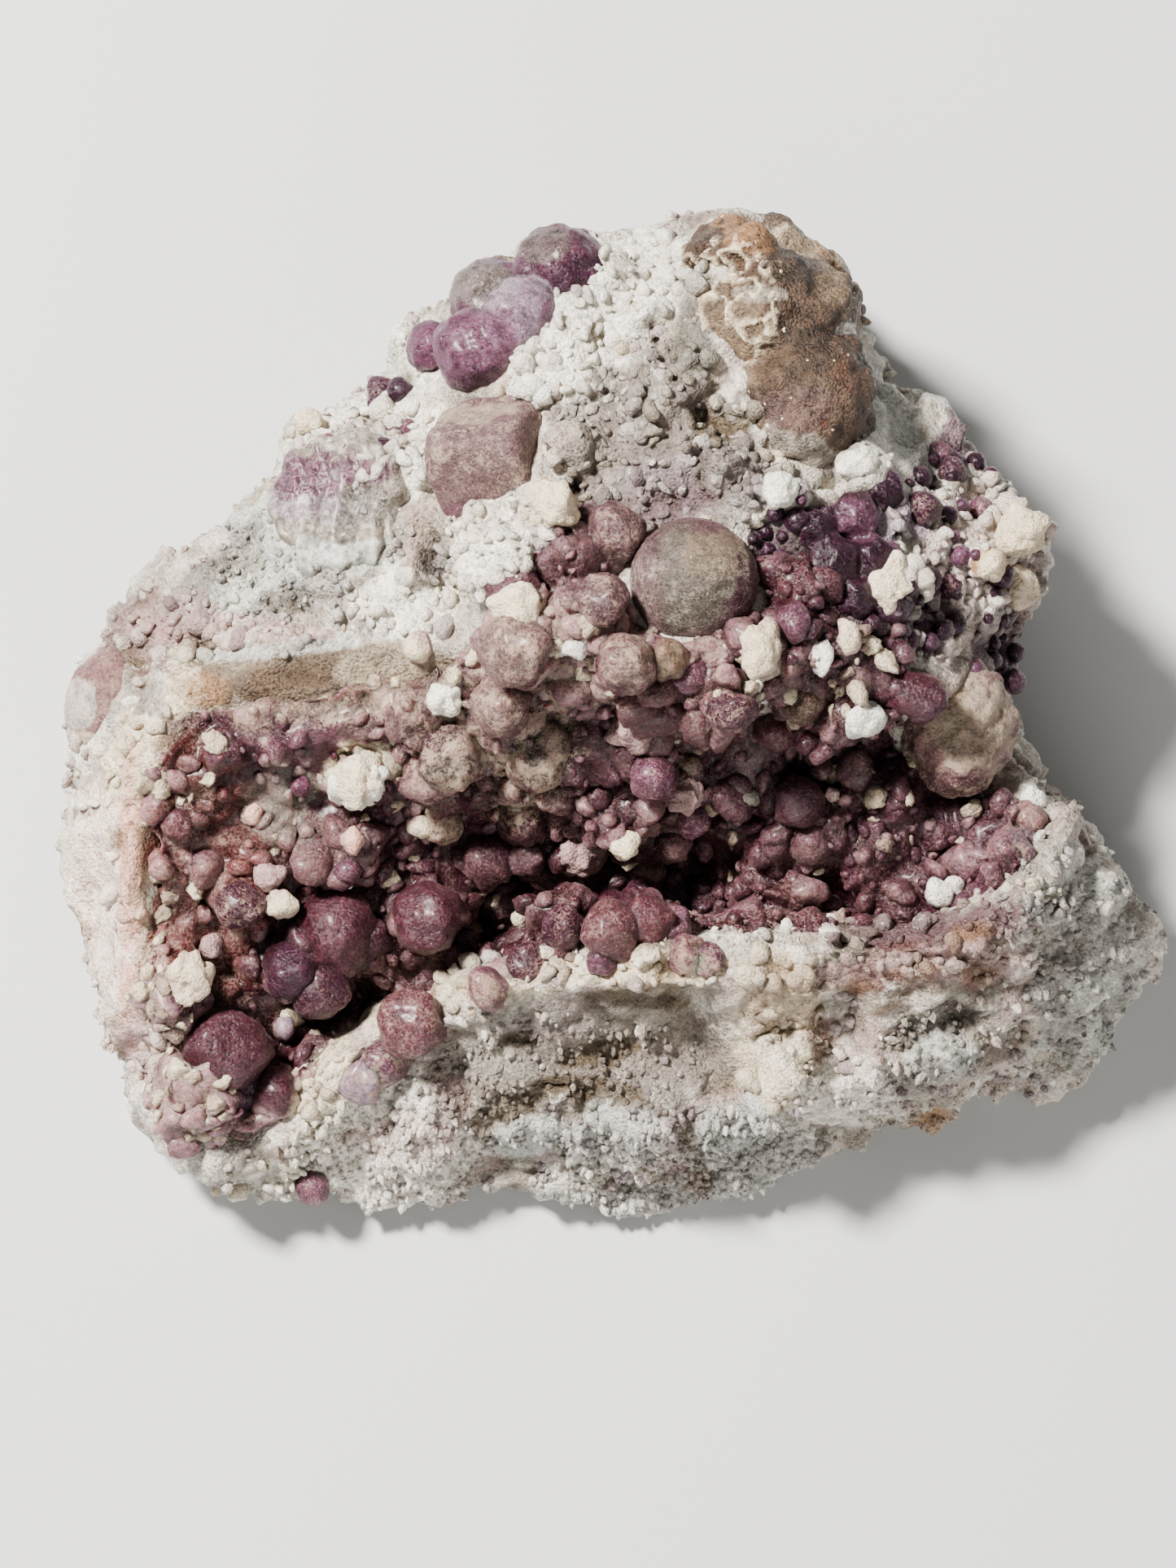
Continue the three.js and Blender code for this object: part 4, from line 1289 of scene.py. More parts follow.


# Rock and crust


# Painted shade: the two umber patches in the cracks at (537, 690) and (705, 610), and the olive patch at
# (885, 520) below the cap's lower edge, stand for the shadow there.
ROCK_PATCHES = patches("""
    WHITE 690 440 80 70 .85; WHITE 780 350 75 70 .85; ASH 790 545 115 105 1; LILAC 860 600 90 50 .4;
    SMOKE 900 590 50 40 .6; TAUPE 840 615 50 22 .6 -15; SMOKE 855 400 30 60 .85; OLIVE 885 520 30 20 .85;
    SAND 1000 330 60 80 .9; FAWN 985 265 60 30 .9; CREAM 985 300 40 22 .8 35; BISTRE 955 262 22 14 .8;
    UMBER 1040 350 16 14 .7; WHITE 1120 540 70 80 .9; ICE 1100 520 24 90 .8 -35; MAUVE 1180 530 25 50 .85;
    WHITE 1150 700 110 110 .85; BLUSH 1200 700 90 110 .5; LILAC 1090 640 60 40 .85;
    GRAPE 1010 680 80 60 .85; PURPLE 1080 760 110 45 .85; PURPLE 1230 800 40 50 .85;
    WHITE 460 560 95 75 .85; ROSE 450 560 60 40 .5; ICE 370 670 130 80 .85 -25; GREY 440 640 60 50 .7;
    MAUVE 390 580 60 22 .7 -25; OLIVE 345 740 30 22 .5; OLIVE 290 690 35 18 .5; SMOKE 450 640 25 20 .5;
    ROSE 190 780 75 60 .7; BLUSH 290 778 130 24 .7 4; SMOKE 250 705 44 14 .7 -30;
    SMOKE 345 735 46 16 .7 -20; SMOKE 300 660 30 12 .6 -30; GREY 400 700 24 40 .7 10;
    WHITE 500 740 70 40 .85; WHITE 620 700 70 55 .85; CREAM 640 745 30 25 .85; ORANGE 640 750 12 10 .7;
    UMBER 537 690 16 32 .85; UMBER 705 610 12 25 .85; MAUVE 720 680 50 60 .85; CREAM 170 950 55 70 .85;
    WHITE 110 1130 45 170 .85; SHELL 118 1140 50 190 .35; SHELL 160 1100 14 170 .8; TAN 176 1090 9 150 .5;
    BRICK 235 1080 60 130 .85; RUST 250 960 35 45 .6; RUST 218 925 26 70 .7; BLUSH 215 1290 60 70 .85;
    SAND 390 832 210 48 .9 3; FAWN 390 820 70 20 .7 -6; OAT 475 818 60 28 .8 -10;
    BISTRE 335 838 60 20 .6 -8; LEAD 420 862 60 16 .6; CREAM 222 838 24 44 .8; TAN 252 848 22 26 .55 20;
    ICE 330 800 130 9 .8 -6; CREAM 400 1330 40 80 .85; CREAM 500 1250 60 30 .85; CREAM 600 1215 60 22 .85;
    CREAM 770 1190 150 22 .85; SAND 1008 300 46 44 .8; TAN 1030 320 26 34 .6 -30; FAWN 1130 1190 140 40 .7;
    DUST 1160 1145 110 22 .8 -6; BLUSH 1240 1130 90 18 .6 -12; TAUPE 1150 1140 160 22 .95 -6;
    TAN 1190 1150 30 10 .45 -10; BRICK 1110 1168 36 10 .4 -6; BLUSH 1140 1190 190 24 .7 -4;
    PEACH 1120 1196 34 12 .7; PEACH 1052 1212 26 12 .6; PEACH 1200 1196 30 10 .6; PEACH 1282 1150 22 16 .5;
    BRICK 1095 1204 16 6 .6; BRICK 1192 1212 14 6 .5; RUST 960 1180 18 14 .6; RUST 1065 1210 30 25 .5;
    WHITE 480 1420 90 85 .9; BLUSH 500 1400 60 30 .5; ASH 730 1300 190 85 .85; GREY 600 1320 50 50 .8;
    GREY 780 1262 60 22 .7; DUST 860 1410 60 50 .35; OLIVE 775 1228 75 11 .8 4; OLIVE 640 1277 26 11 .9;
    OLIVE 740 1294 50 15 .9 -12; OLIVE 635 1358 64 17 .85 -27; OLIVE 735 1342 62 16 .85 7;
    OLIVE 856 1400 22 34 .7 -20; ICE 652 1398 40 28 .9 -20; ICE 755 1400 60 44 .8 -10;
    ICE 910 1372 55 30 .8 -10; ICE 940 1430 80 60 .8; ICE 800 1490 170 34 .85; ROSE 550 1362 26 34 .6;
    CREAM 955 1270 55 95 .85; PEACH 955 1240 45 50 .4; RUST 1010 1280 16 30 .6; LEAD 1150 1265 70 26 .8 -12;
    SLATE 1185 1255 26 12 .5 -20; OLIVE 1225 1290 40 16 .6 -30; ICE 1160 1300 50 26 .8 -15;
    LEAD 1100 1330 70 22 .5 -15; WHITE 1040 1350 60 40 .7; ICE 1340 1190 75 140 .8;
    LEAD 1300 1250 30 50 .4 -40; TAN 1150 1385 28 22 .7
""")

# Rises and hollows, with their height in millimetres as strength
ROCK_RELIEFS = patches("""
    537 690 16 34 -1.6; 705 610 12 26 -1.2; 885 515 34 14 -1 35; 820 440 10 50 -.6 -20; 640 745 32 28 .9;
    620 690 60 45 .5; 700 440 70 60 .5; 955 1265 50 100 .9; 1030 1290 18 60 -.5 10; 870 1280 16 60 -.5 -8;
    860 600 70 50 .5; 900 590 40 36 .5; 430 660 135 105 1 -15; 775 1228 75 11 -.3 4; 640 1277 26 11 -.3;
    740 1294 50 15 -.35 -12; 635 1358 64 17 -.5 -27; 735 1342 62 16 -.45 7; 856 1400 22 34 -.35 -20;
    652 1398 40 28 .5 -20; 755 1400 60 44 .6 -10; 910 1372 55 30 .5 -10; 530 1400 45 60 .4;
    1150 1265 70 20 -.35 -12; 1160 1305 50 22 .4 -15; 1230 1290 36 10 -.4 -30; 700 440 20 50 .4 30;
    1290 1250 90 18 -.5 -40
""")

KNOB_GROUND = patches("""
    690 440 85 75 .9; 780 350 80 75 .9; 455 545 100 55 1; 500 750 90 36 .9; 620 690 85 75 1;
    1150 690 130 110 .8; 1270 640 70 80 .9; 790 540 120 110 .85; 190 780 90 60 .5; 290 778 130 22 .9 4;
    420 785 180 14 .5 -3; 150 930 70 90 .45; 860 600 100 60 .8; 390 1330 35 90 .8; 520 1240 90 28 .8;
    760 1190 200 22 .8; 1150 1160 170 40 .9; 1250 1120 120 30 .9 -14; 1000 1280 90 90 .4;
    160 1000 40 160 .4; 215 1310 50 70 .8; 330 1450 80 50 .5
""")

GRAPE_GROUND = patches("""
    1010 680 90 60 1; 1090 750 120 55 1; 1230 800 45 60 1; 1160 590 50 60 .6; 1210 690 60 70 .4;
    440 560 70 50 .25; 470 480 40 25 .7; 1260 560 30 60 .5
""")

SMOOTH_GROUND = patches("""
    360 690 150 90 1 -25; 380 835 210 46 1 5; 110 1130 40 170 .6; 1120 560 60 60 .6
""")

CALM_GROUND = patches("""
    960 235 80 60 1; 905 240 60 44 1
""")

COMB_GROUND = patches("""
    880 1450 210 95 1; 480 1430 110 100 .8; 680 1330 160 100 .55; 1330 1210 110 160 .45;
    1140 1320 150 80 .5; 350 690 150 70 .5 -25
""")


@dataclass
class Rock:
    """The quartz that everything grows on. Lengths are in millimetres.

    Each of crumbs and streaks is a length, a height and a seed, and crumbs also have the share of them that
    stands everywhere. Each of tints and stains is a tone, a length and a seed, and stains also have the
    height of the noise where they start.
    """

    node: str = "quartz_matrix"
    voxel_mm: float = 0.36
    rounds: int = 4
    block_mm: float = 3.6
    crumbs: tuple[tuple[float, float, int, float], ...] = ((1.5, 0.9, 8, 0.35), (0.85, 0.45, 9, 0.45))
    streaks: tuple[tuple[float, float, int], ...] = ((1.0, 0.6, 12), (0.6, 0.35, 13))
    crust_bed_mm: float = 0.2
    bed_mm: float = 0.6
    near_mm: float = 1.3
    floor_mm: float = 0.12
    tints: tuple[tuple[Tone, float, int], ...] = (
        (Tone.BLUSH, 2.2, 55), (Tone.OAT, 1.7, 56), (Tone.ASH, 1.2, 57),
    )
    stains: tuple[tuple[Tone, float, int, float], ...] = (
        (Tone.OLIVE, 5.0, 71, 0.55), (Tone.TAN, 4.0, 72, 0.6), (Tone.PURPLE, 3.4, 73, 0.65),
        (Tone.CREAM, 3.0, 74, 0.35), (Tone.RUST, 3.0, 75, 0.85),
    )

    def build(self, seats: Seats) -> Object:
        """Makes the rock's surface and lets crystals sit on it.

        Args:
            seats: the surfaces that crystals are set on.

        Returns:
            The undressed rock.
        """
        obj = fine_copy(self.node, "quartz_rock", self.voxel_mm, self.rounds)
        mesh = obj.data
        points, out = points_of(mesh), normals_of(mesh)
        pixels = FACE.seen(points)
        front = ramp(FACE.facing(out), 0.1, 0.55)
        high = ramp(points[:, 2], 0.3, 1.6)
        swell = self.weathered(points, pixels, front)
        number_on(mesh, "front", front)
        number_on(mesh, "back", ramp(FACE.facing(out), -0.1, -0.45))
        number_on(mesh, "depth", swell)
        stray = 0.3 * rugged(points, 1.6, 2, 31)
        for relief in ROCK_RELIEFS:
            swell += front * relief.strength * relief.shape(pixels, stray)
        crust, crystals = self.bedding(points)
        swell = swell * (1 - crust) + self.crust_bed_mm * crust
        swell = np.maximum(swell, 0) * crystals + swell * (1 - crystals) + self.bed_mm * crystals
        points = points + out * (swell * high)[:, None]
        lowest = (points[:, 2] < self.floor_mm) | (high <= 0) & (out[:, 2] < -0.6)
        points[:, 2] = np.where(lowest, 0.0, points[:, 2])
        move_points(mesh, points)
        seats.add(obj)
        return obj

    def weathered(self, points: np.ndarray, pixels: np.ndarray, front: np.ndarray) -> np.ndarray:
        """How far the surface swells with its broken blocks, crumbs and streaks.

        Args:
            points: places in millimetres.
            pixels: where they show in the photograph.
            front: how far each belongs to the show face, from 0 to 1.

        Returns:
            The rise at each place, in millimetres.
        """
        _, way, own = nearest_cells(points, self.block_mm, 4)
        swell = 0.4 * rugged(points, 3.2, 3, 2)
        swell += ((own - 0.5) * way).sum(axis=1) * (1.9 - 1.2 * front)
        crumbly = marked(pixels, points, KNOB_GROUND) * front + 0.4 * (1 - front)
        for length, height, seed, least in self.crumbs:
            swell += crumbled(points, length, height, seed) * (least + (1 - least) * crumbly)
        places = streaks_at(points)
        streaks = sum(crumbled(places, *row) for row in self.streaks)
        swell += streaks * marked(pixels, points, COMB_GROUND)
        swell += 0.14 * rugged(points, 0.9, 2, 21)
        smooth = front * marked(pixels, points, SMOOTH_GROUND)
        return swell * ((1 - 0.7 * smooth) * (1 - 0.85 * marked(pixels, points, CALM_GROUND)))

    def bedding(self, points: np.ndarray) -> tuple[np.ndarray, np.ndarray]:
        """How closely each place lies below the crust, and below a crystal, from 0 to 1."""
        covers = [np.zeros(len(points)), np.zeros(len(points))]
        for name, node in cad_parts.items():
            if name == self.node:
                continue
            tree = BVHTree.FromObject(node, bpy.context.evaluated_depsgraph_get())
            gaps = [tree.find_nearest(Vector(point * MM), self.near_mm * MM)[3] for point in points]
            gaps = np.array([self.near_mm if gap is None else gap / MM for gap in gaps])
            kind = 0 if name == Crust.node else 1
            covers[kind] = np.maximum(covers[kind], ramp(gaps, 1.25, 0.6))
        return covers[0], covers[1]

    def paint(self, mesh: Mesh) -> np.ndarray:
        """The colours of the rock at each vertex, with painted shade in its sunken places."""
        points = points_of(mesh)
        pixels = FACE.seen(points)
        front = ramp(FACE.facing(normals_of(mesh)), -0.15, 0.3)
        depth = read_number(mesh, "depth")
        shown = blended(Tone.GREY, Tone.WHITE, 0.45 + 0.8 * rugged(points, 2.5, 3, 51))
        for tone, length, seed in self.tints:
            shown = toward(shown, tone, 0.5 * ramp(rugged(points, length, 3, seed), 0.1, 0.6))
        shown = painted(shown, pixels, points, ROCK_PATCHES)
        hidden = blended(Tone.SMOKE, Tone.WHITE, 0.55 + 0.7 * rugged(points, 4.0, 4, 61))
        for tone, length, seed, start in self.stains:
            hidden = toward(hidden, tone, 0.75 * ramp(rugged(points, length, 3, seed), start, start + 0.45))
        colours = hidden + (shown - hidden) * front[:, None]
        colours = toward(colours, Tone.WHITE, 0.35 * ramp(depth, 0.1, 0.8))
        # Painted shade: sunken places darkened warm, as if in shadow; random spots are darkened too.
        spot_noise = rugged(points, 1.6, 3, 66)
        sunk_shade_and_spots = 0.5 * ramp(-depth + 0.25 * spot_noise, 0.0, 0.9) + 0.3 * ramp(spot_noise, 0.5, 1.1)
        sunk_shade_and_spots = (sunk_shade_and_spots * (1 - 0.5 * marked(pixels, points, COMB_GROUND)))[:, None]
        return colours * (1 - np.clip(sunk_shade_and_spots, 0, 0.8) * np.array([0.72, 0.85, 1.0]))

    def dress(self, obj: Object) -> None:
        """Paints the rock and grows knobs, grapes and prisms on it."""
        mesh = obj.data
        points = points_of(mesh)
        tint_on(mesh, self.paint(mesh), 0.3 + 0.5 * wander(points, 3.0, 67))
        pixels = FACE.seen(points)
        front = read_number(mesh, "front")
        high = ramp(points[:, 2], 1.2, 2.5) * (1 - marked(pixels, points, CALM_GROUND))
        sides = (1 - front) * high * ramp(rugged(points, 5.0, 2, 81), 0.15, 0.6)
        knobs = Balls(
            "powdery_quartz_knobs", KNOB_QUARTZ, 0.56, 0.2, 0.66, lift=0.1, lumps_mm=0.22,
            lump_length_mm=0.5, seed=5,
        ).grow(
            obj, where=np.maximum(front * marked(pixels, points, KNOB_GROUND), 0.5 * sides) * high,
            bulk=0.85 + 0.45 * wander(points, 2.0, 3),
        )
        swell_out(knobs.data, 0.2 * wander(points_of(knobs.data), 0.4, 4))
        move_points(knobs.data, warped(points_of(knobs.data), 0.8, 0.22, 44))
        self.paint_grown(knobs, 0.35, Tone.CREAM)
        strays = 0.35 * read_number(mesh, "back") * ramp(rugged(points, 6.0, 2, 83), 0.45, 0.8)
        grapes = Balls(
            "dark_fluorite_grapes", DARK_FLUORITE, 1.0, 0.3, 0.85, detail=3, lift=0.3, lumps_mm=0.12,
            lump_length_mm=0.6, seed=6,
        ).grow(
            obj, where=np.maximum(front * marked(pixels, points, GRAPE_GROUND), strays) * high,
            bulk=np.ones(len(points)),
        )
        shade = read_number(grapes.data, "shade")
        # Some grapes are paler at random, and each is paler toward its top as painted light.
        tone = blended(Tone.GRAPE, Tone.MAUVE, shade**2 * (0.6 + 0.4 * read_number(grapes.data, "tip")))
        tint_on(grapes.data, tone, 0.15 + 0.3 * shade)
        broken = 0.5 * (1 - front) * high * ramp(rugged(points, 6.0, 2, 82), 0.2, 0.6)
        near_floor = np.maximum(high, front * ramp(points[:, 2], 0.5, 1.1))
        comb = Comb("quartz_comb", QUARTZ).grow(
            obj, where=np.maximum(front * marked(pixels, points, COMB_GROUND), broken) * near_floor)
        self.paint_grown(comb, 0.1, Tone.GREY)
        for piece, finish in ((obj, QUARTZ), (knobs, KNOB_QUARTZ), (grapes, DARK_FLUORITE), (comb, QUARTZ)):
            dressed(piece, finish, self.node)

    def paint_grown(self, obj: Object, base_shade: float, low: Tone) -> None:
        """Colours what grew on the rock after the rock below it.

        Args:
            obj: the crystals.
            base_shade: how much darker they are toward their lower parts, as painted shade where they meet
                the rock.
            low: the darkest of their own colours, of which white is the palest.
        """
        mesh = obj.data
        seats = read_all(mesh.attributes["seat"].data, "vector", 3) / MM
        shade = read_number(mesh, "shade")
        tip = read_number(mesh, "tip")
        colours = blended(low, Tone.WHITE, shade * 1.3)
        for tone, seed in ((Tone.BLUSH, 31), (Tone.OAT, 32), (Tone.LILAC, 33)):
            share = 0.6 * ramp(rugged(seats, 1.3, 2, seed) + 0.25 * shade, 0.25, 0.7)
            colours = toward(colours, tone, share)
        soft = tuple(replace(patch, strength=0.7 * patch.strength) for patch in ROCK_PATCHES)
        colours = painted(colours, FACE.seen(seats), seats, soft) * (0.75 + 0.3 * shade)[:, None]
        # Painted shade: each crystal darker toward its lower part.
        colours *= (1 - base_shade * (1 - ramp(tip, -0.6, 0.6)))[:, None]
        tint_on(mesh, colours, 0.2 + 0.5 * shade)


# The darkest maroon patches, deep in the hollow, are painted shade.
CRUST_PATCHES = patches("""
    BLUSH 165 1000 36 160 .8; BLUSH 180 1200 38 110 .8 8; BLUSH 225 1350 55 95 .8; BLUSH 300 1420 90 50 .8;
    CREAM 400 1330 28 90 .8 25; TAUPE 600 860 160 90 .7; LEAD 620 930 60 60 .6; DUST 470 860 210 62 .8;
    OAT 380 845 150 40 .8; SAND 350 850 60 22 .6; MAUVE 370 905 60 22 .7; TAUPE 715 690 60 75 .85;
    GRAPE 1060 780 110 50 .8; ROSE 350 1060 90 60 .6; BRICK 245 1080 75 140 .8; RUST 225 940 34 80 .7;
    ROSE 235 1060 45 90 .4; GREY 350 980 46 46 .8; CREAM 450 950 38 35 .85; NIGHT 660 1010 60 40 .5;
    NIGHT 790 980 50 60 .4; NIGHT 640 1130 50 35 .7; NIGHT 420 1250 80 60 .6; PURPLE 1050 1000 150 80 .5;
    MAUVE 1250 1080 110 70 .6; LILAC 1300 1000 50 60 .5; ROSE 850 860 140 60 .5; BLUSH 700 800 150 60 .7;
    TAUPE 690 880 90 40 .6; TAUPE 560 830 70 50 .6; PURPLE 1180 880 60 80 .5
""")

FROSTED = patches("""
    640 900 70 100 1; 540 940 60 60 .8; 720 800 160 70 .8; 400 850 200 50 1; 230 1100 60 150 .6;
    900 1160 200 40 .6; 1280 1050 80 80 .6
""")

BARE_WALL = patches("""
    235 1080 60 140 .85; 450 860 210 60 .85
""")

PALE_EDGE = patches("""
    165 1000 34 160 .9; 180 1200 38 110 .9 8; 225 1350 50 90 1; 300 1420 90 45 1; 400 1330 26 90 .9 25;
    330 800 190 30 .6; 450 950 40 34 .6; 1000 850 60 30 .4; 540 810 70 30 .4; 700 800 60 40 .35;
    1040 800 50 50 .5; 880 850 50 30 .3; 1340 1090 60 60 .7
""")


@dataclass
class Crust:
    """The sheet of fluorite over the hollow, with the balls on it. Lengths are in millimetres.

    Each of balls and wrings is a length, a height and a seed.
    """

    node: str = "hollow_fluorite_crust"
    voxel_mm: float = 0.3
    rounds: int = 5
    cover_mm: float = 1.4
    edge_mm: float = 2.4
    edge_from_mm: float = 0.9
    sink_mm: float = 1.0
    balls: tuple[tuple[float, float, int], ...] = ((1.9, 1.1, 14), (0.9, 0.4, 15))
    wrings: tuple[tuple[float, float, int], ...] = ((2.6, 0.45, 24), (1.1, 0.28, 27))

    def build(self, rock: Object, seats: Seats) -> Object:
        """Makes the sheet, sunk into the rock along its edge.

        Args:
            rock: the rock below it.
            seats: the surfaces that crystals are set on.

        Returns:
            The undressed sheet.
        """
        obj = fine_copy(self.node, "fluorite_crust", self.voxel_mm, self.rounds)
        mesh = obj.data
        points = points_of(mesh)
        swell = sum(crumbled(points, *row) for row in self.balls)
        swell += 0.05 * rugged(points, 0.7, 2, 16)
        number_on(mesh, "depth", swell)
        move_points(mesh, points + normals_of(mesh) * swell[:, None] + self.sunk(points, rock))
        seats.add(obj)
        return obj

    def wrung(self, mesh: Mesh) -> np.ndarray:
        """Warps a part of the crust as the rest of it is, and gives its new places in millimetres."""
        points = points_of(mesh)
        for row in self.wrings:
            points = warped(points, *row)
        move_points(mesh, points)
        return points

    def sunk(self, points: np.ndarray, rock: Object) -> np.ndarray:
        """How far each place near the sheet's edge moves into the rock."""
        cover = BVHTree.FromObject(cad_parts[self.node], bpy.context.evaluated_depsgraph_get())
        places = read_all(rock.data.vertices, "co", 3)
        out = normals_of(rock.data)
        open_points = KDTree(len(places))
        for number, place in enumerate(places):
            if cover.find_nearest(Vector(place), self.cover_mm * MM)[0] is None:
                open_points.insert(Vector(place), number)
        open_points.balance()
        moves = np.zeros_like(points)
        for row, point in enumerate(points):
            _, number, gap = open_points.find(Vector(point * MM))
            share = max(0.0, 1.0 - (gap / MM - self.edge_from_mm) / self.edge_mm)
            moves[row] = -out[number] * self.sink_mm * min(1.0, share)
        return moves

    def paint(self, points: np.ndarray, tip: np.ndarray, shade: np.ndarray) -> np.ndarray:
        """The colours of the fluorite, paler where it stands out, partly frost and partly painted light, and
        dark maroon lower down, as painted shade.

        Args:
            points: places in millimetres.
            tip: how far out each place stands, from 0 to 1.
            shade: a number from 0 to 1 for each crystal.

        Returns:
            A colour for each place.
        """
        pixels = FACE.seen(points)
        colours = blended(Tone.MAROON, Tone.DUSK, 0.6 + 0.6 * rugged(points, 3.0, 3, 91))
        colours = painted(colours, pixels, points, CRUST_PATCHES)
        pale = blended(Tone.MAUVE, Tone.BLUSH, 0.7 * shade + 0.1 + 0.4 * rugged(points, 0.8, 2, 92))
        edge = marked(pixels, points, PALE_EDGE)
        # Places that stand out turn paler: partly frost, partly painted light on the lit tops.
        colours += (pale - colours) * (tip * (0.1 + 0.6 * np.maximum(shade, edge)**2))[:, None]
        # Painted shade: lower places and the lower sides of the balls pulled toward dark maroon.
        return toward(colours, Tone.MAROON, 0.55 * (1 - tip) * (1 - 0.8 * edge))

    def frost(self, points: np.ndarray) -> np.ndarray:
        """How much of the fluorite is frosted at each place, from 0 to 1."""
        return 0.2 + 0.25 * wander(points, 2.5, 93) + 0.6 * marked(FACE.seen(points), points, FROSTED)

    def dress(self, obj: Object) -> None:
        """Paints the sheet and grows balls, grains and pale crumbs on it."""
        mesh = obj.data
        points = points_of(mesh)
        shade = 0.5 + 0.5 * wander(points, 1.5, 17)
        depth = ramp(read_number(mesh, "depth"), 0.0, 0.5)
        # The sheet's raised places take the paler colour, its low places the painted shade.
        tint_on(mesh, self.paint(points, depth, shade), self.frost(points))
        pixels = FACE.seen(points)
        front = ramp(FACE.facing(normals_of(mesh)), -0.35, 0.1)
        edge = marked(pixels, points, PALE_EDGE)
        inner = front * (1 - 0.9 * edge)
        patchy = 0.65 + 0.35 * wander(points, 4.0, 18) - 0.75 * marked(pixels, points, BARE_WALL)
        lobes = Balls(
            "fluorite_lobes", FLUORITE, 1.9, 0.6, 1.6, detail=3, lift=0.1, lumps_mm=0.3,
            lump_length_mm=1.0, seed=11,
        ).grow(obj, where=inner * np.clip(patchy, 0, 1), bulk=np.ones(len(points)))
        grains = Balls(
            "fluorite_grains", FLUORITE, 0.9, 0.25, 0.75, lift=0.05, lumps_mm=0.16,
            lump_length_mm=0.5, seed=12,
        ).grow(obj, where=inner * np.clip(patchy + 0.35, 0, 1), bulk=0.9 + 0.4 * wander(points, 3.0, 19))
        crumbs = Balls(
            "pale_crumbs", KNOB_QUARTZ, 0.7, 0.16, 0.62, detail=3, lift=0.15, lumps_mm=0.3,
            lump_length_mm=0.35, seed=13,
        ).grow(
            obj, where=np.maximum(0.22 * inner * ramp(wander(points, 4.0, 20), -0.3, 0.4), front * edge),
            bulk=np.ones(len(points)),
        )
        for grown in (lobes, grains):
            shade = read_number(grown.data, "shade")
            tip = ramp(read_number(grown.data, "tip"), -0.4, 0.9)
            swell_out(grown.data, crumbled(points_of(grown.data), 0.5, 0.2, 22))
            places = self.wrung(grown.data)
            tint_on(grown.data, self.paint(places, tip, shade), self.frost(places))
        shade = read_number(crumbs.data, "shade")
        tip = read_number(crumbs.data, "tip")
        # Painted shade: each crumb darker toward its lower side.
        colours = blended(Tone.ROSE, Tone.CREAM, shade * 1.5) * (0.75 + 0.25 * tip)[:, None]
        tint_on(crumbs.data, colours, 0.3 + 0.3 * shade)
        swell_out(crumbs.data, crumbled(points_of(crumbs.data), 0.3, 0.14, 29))
        self.wrung(crumbs.data)
        self.wrung(mesh)
        for piece, finish in ((obj, FLUORITE), (lobes, FLUORITE), (grains, FLUORITE), (crumbs, KNOB_QUARTZ)):
            dressed(piece, finish, self.node)


# Stage


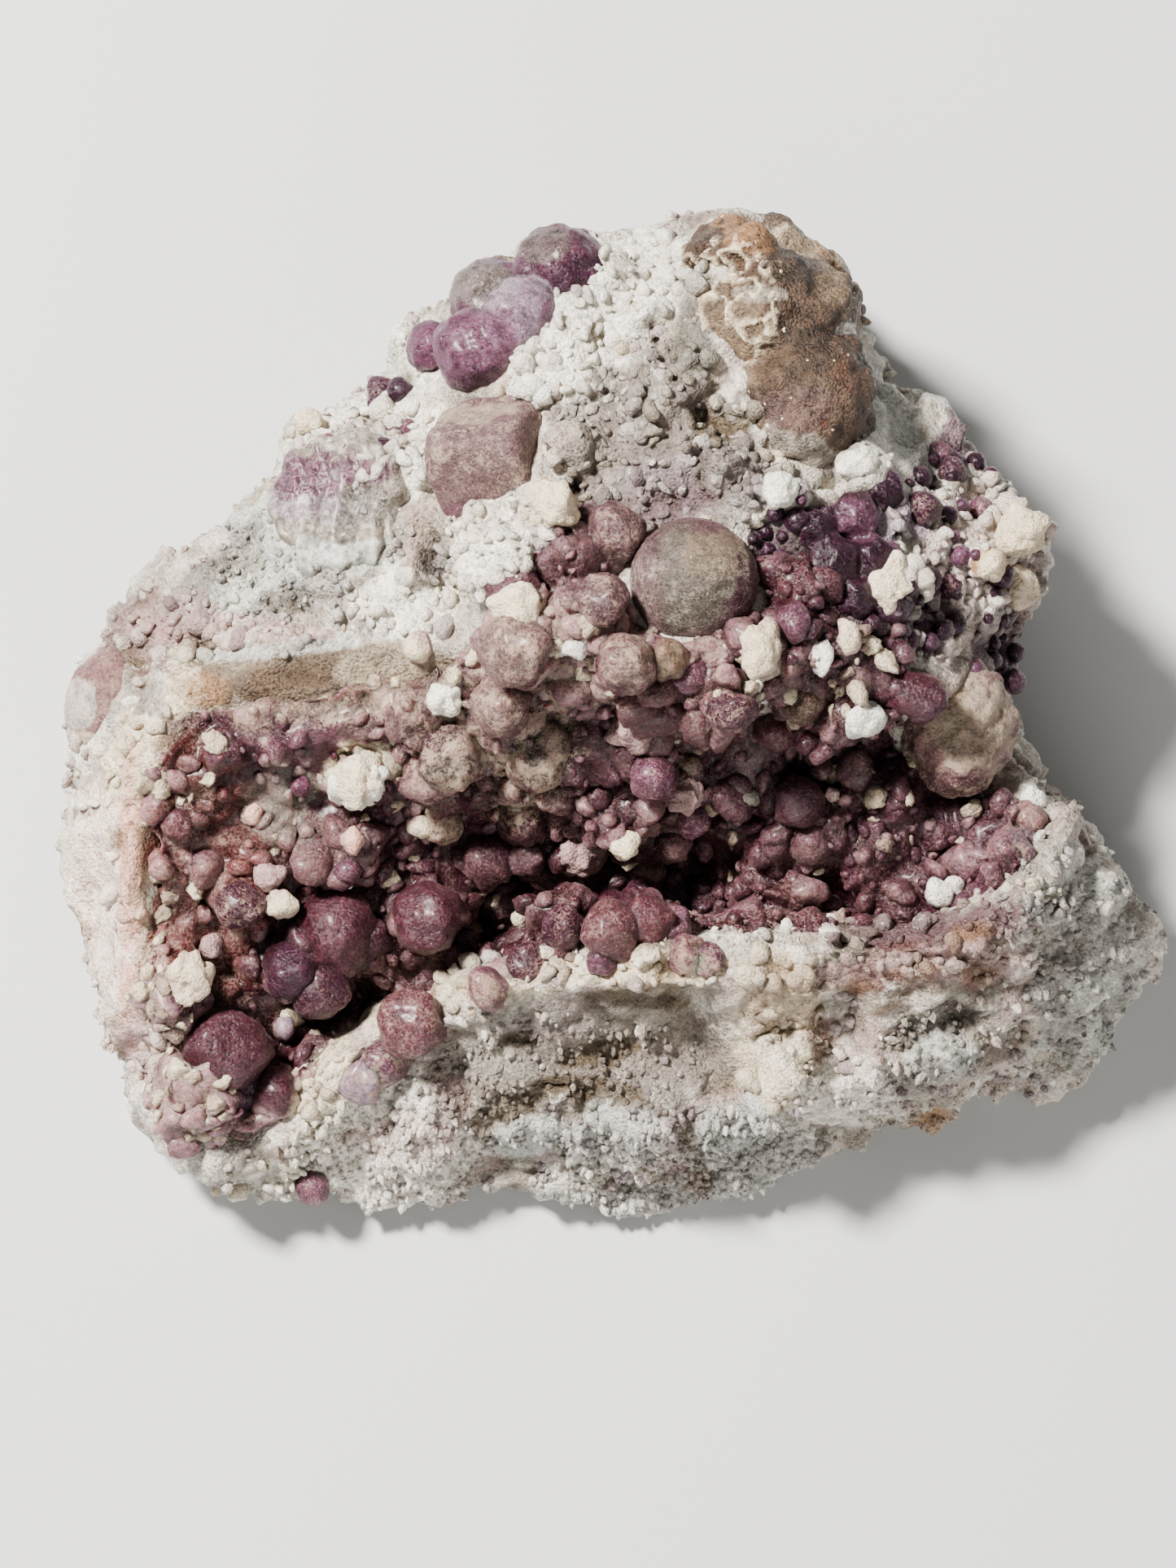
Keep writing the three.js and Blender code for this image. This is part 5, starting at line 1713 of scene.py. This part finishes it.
@dataclass
class Studio:
    """The floor, lamps and camera. Lengths are in millimetres, power in watts."""

    key_watts: float = 4.7
    key_mm: tuple[float, float, float] = (-180.0, 175.0, 325.0)
    key_size_mm: float = 60.0
    fill_watts: float = 0.55
    fill_mm: tuple[float, float, float] = (60.0, -240.0, 270.0)
    fill_size_mm: float = 220.0
    aim_mm: tuple[float, float, float] = (0.0, 0.0, 12.0)
    sky: float = 0.27
    floor_mm: float = 1500.0
    floor_tone: tuple[float, float, float] = (0.55, 0.56, 0.57)

    def build(self) -> None:
        """Sets up the stage around the specimen."""
        self.floor()
        self.lamp("key", self.key_mm, self.key_size_mm, self.key_watts, (1.0, 0.96, 0.91))
        self.lamp("fill", self.fill_mm, self.fill_size_mm, self.fill_watts, (1.0, 0.97, 0.93))
        self.camera()
        world = bpy.data.worlds.new("soft sky")
        world.use_nodes = True
        back = world.node_tree.nodes["Background"]
        back.inputs["Color"].default_value = (1.0, 0.98, 0.95, 1.0)
        back.inputs["Strength"].default_value = self.sky
        bpy.context.scene.world = world
        bpy.context.scene.view_settings.look = "AgX - Medium High Contrast"

    def floor(self) -> None:
        """A plain pale floor under the specimen."""
        corners = np.array([[-1, -1, 0], [1, -1, 0], [1, 1, 0], [-1, 1, 0]]) * self.floor_mm * MM
        floor = mesh_object("floor", corners, [(0, 1, 2, 3)], smooth=False)
        material = bpy.data.materials.new("plain floor")
        material.use_nodes = True
        shader = material.node_tree.nodes["Principled BSDF"]
        shader.inputs["Base Color"].default_value = (*self.floor_tone, 1.0)
        shader.inputs["Roughness"].default_value = 0.8
        floor.data.materials.append(material)

    def lamp(self, name: str, place: tuple, size: float, watts: float, colour: tuple) -> None:
        """A square lamp that shines on the middle of the specimen."""
        light = bpy.data.lights.new(name, "AREA")
        light.size = size * MM
        light.energy = watts
        light.color = colour
        obj = linked(name, light)
        obj.location = FACE.to_frame(np.array(place))[0]
        target = Vector(FACE.to_frame(np.array(self.aim_mm))[0])
        obj.rotation_euler = (target - obj.location).to_track_quat("-Z", "Y").to_euler()

    def camera(self) -> None:
        """The camera that sees the specimen as the photograph does."""
        lens = bpy.data.cameras.new("camera")
        lens.lens = FACE.lens_mm()
        lens.sensor_width = FACE.sensor_mm
        lens.clip_start = 0.01
        lens.clip_end = 10.0
        obj = linked("camera", lens)
        turn = Matrix(FACE.turn().tolist()).to_4x4()
        obj.matrix_world = Matrix.Translation(FACE.to_frame(np.array(FACE.eye_mm))[0]) @ turn
        bpy.context.scene.camera = obj


def main() -> None:
    """Builds the specimen piece by piece, then the stage."""
    logging.basicConfig(level=logging.INFO, format="%(name)s: %(message)s")
    seats = Seats()
    rock_maker, crust_maker = Rock(), Crust()
    rock = rock_maker.build(seats)
    crust = crust_maker.build(rock, seats)
    for crystal in CRYSTALS:
        crystal.build()
    Beads("fluorite_balls", FLUORITE, HOLLOW_BEADS).build(seats, "hollow_fluorite_crust")
    Beads("pale_quartz_balls", KNOB_QUARTZ, PALE_BEADS, 0.26).build(seats, "quartz_matrix")
    rock_maker.dress(rock)
    crust_maker.dress(crust)
    Studio().build()


if __name__ == "__main__":
    main()
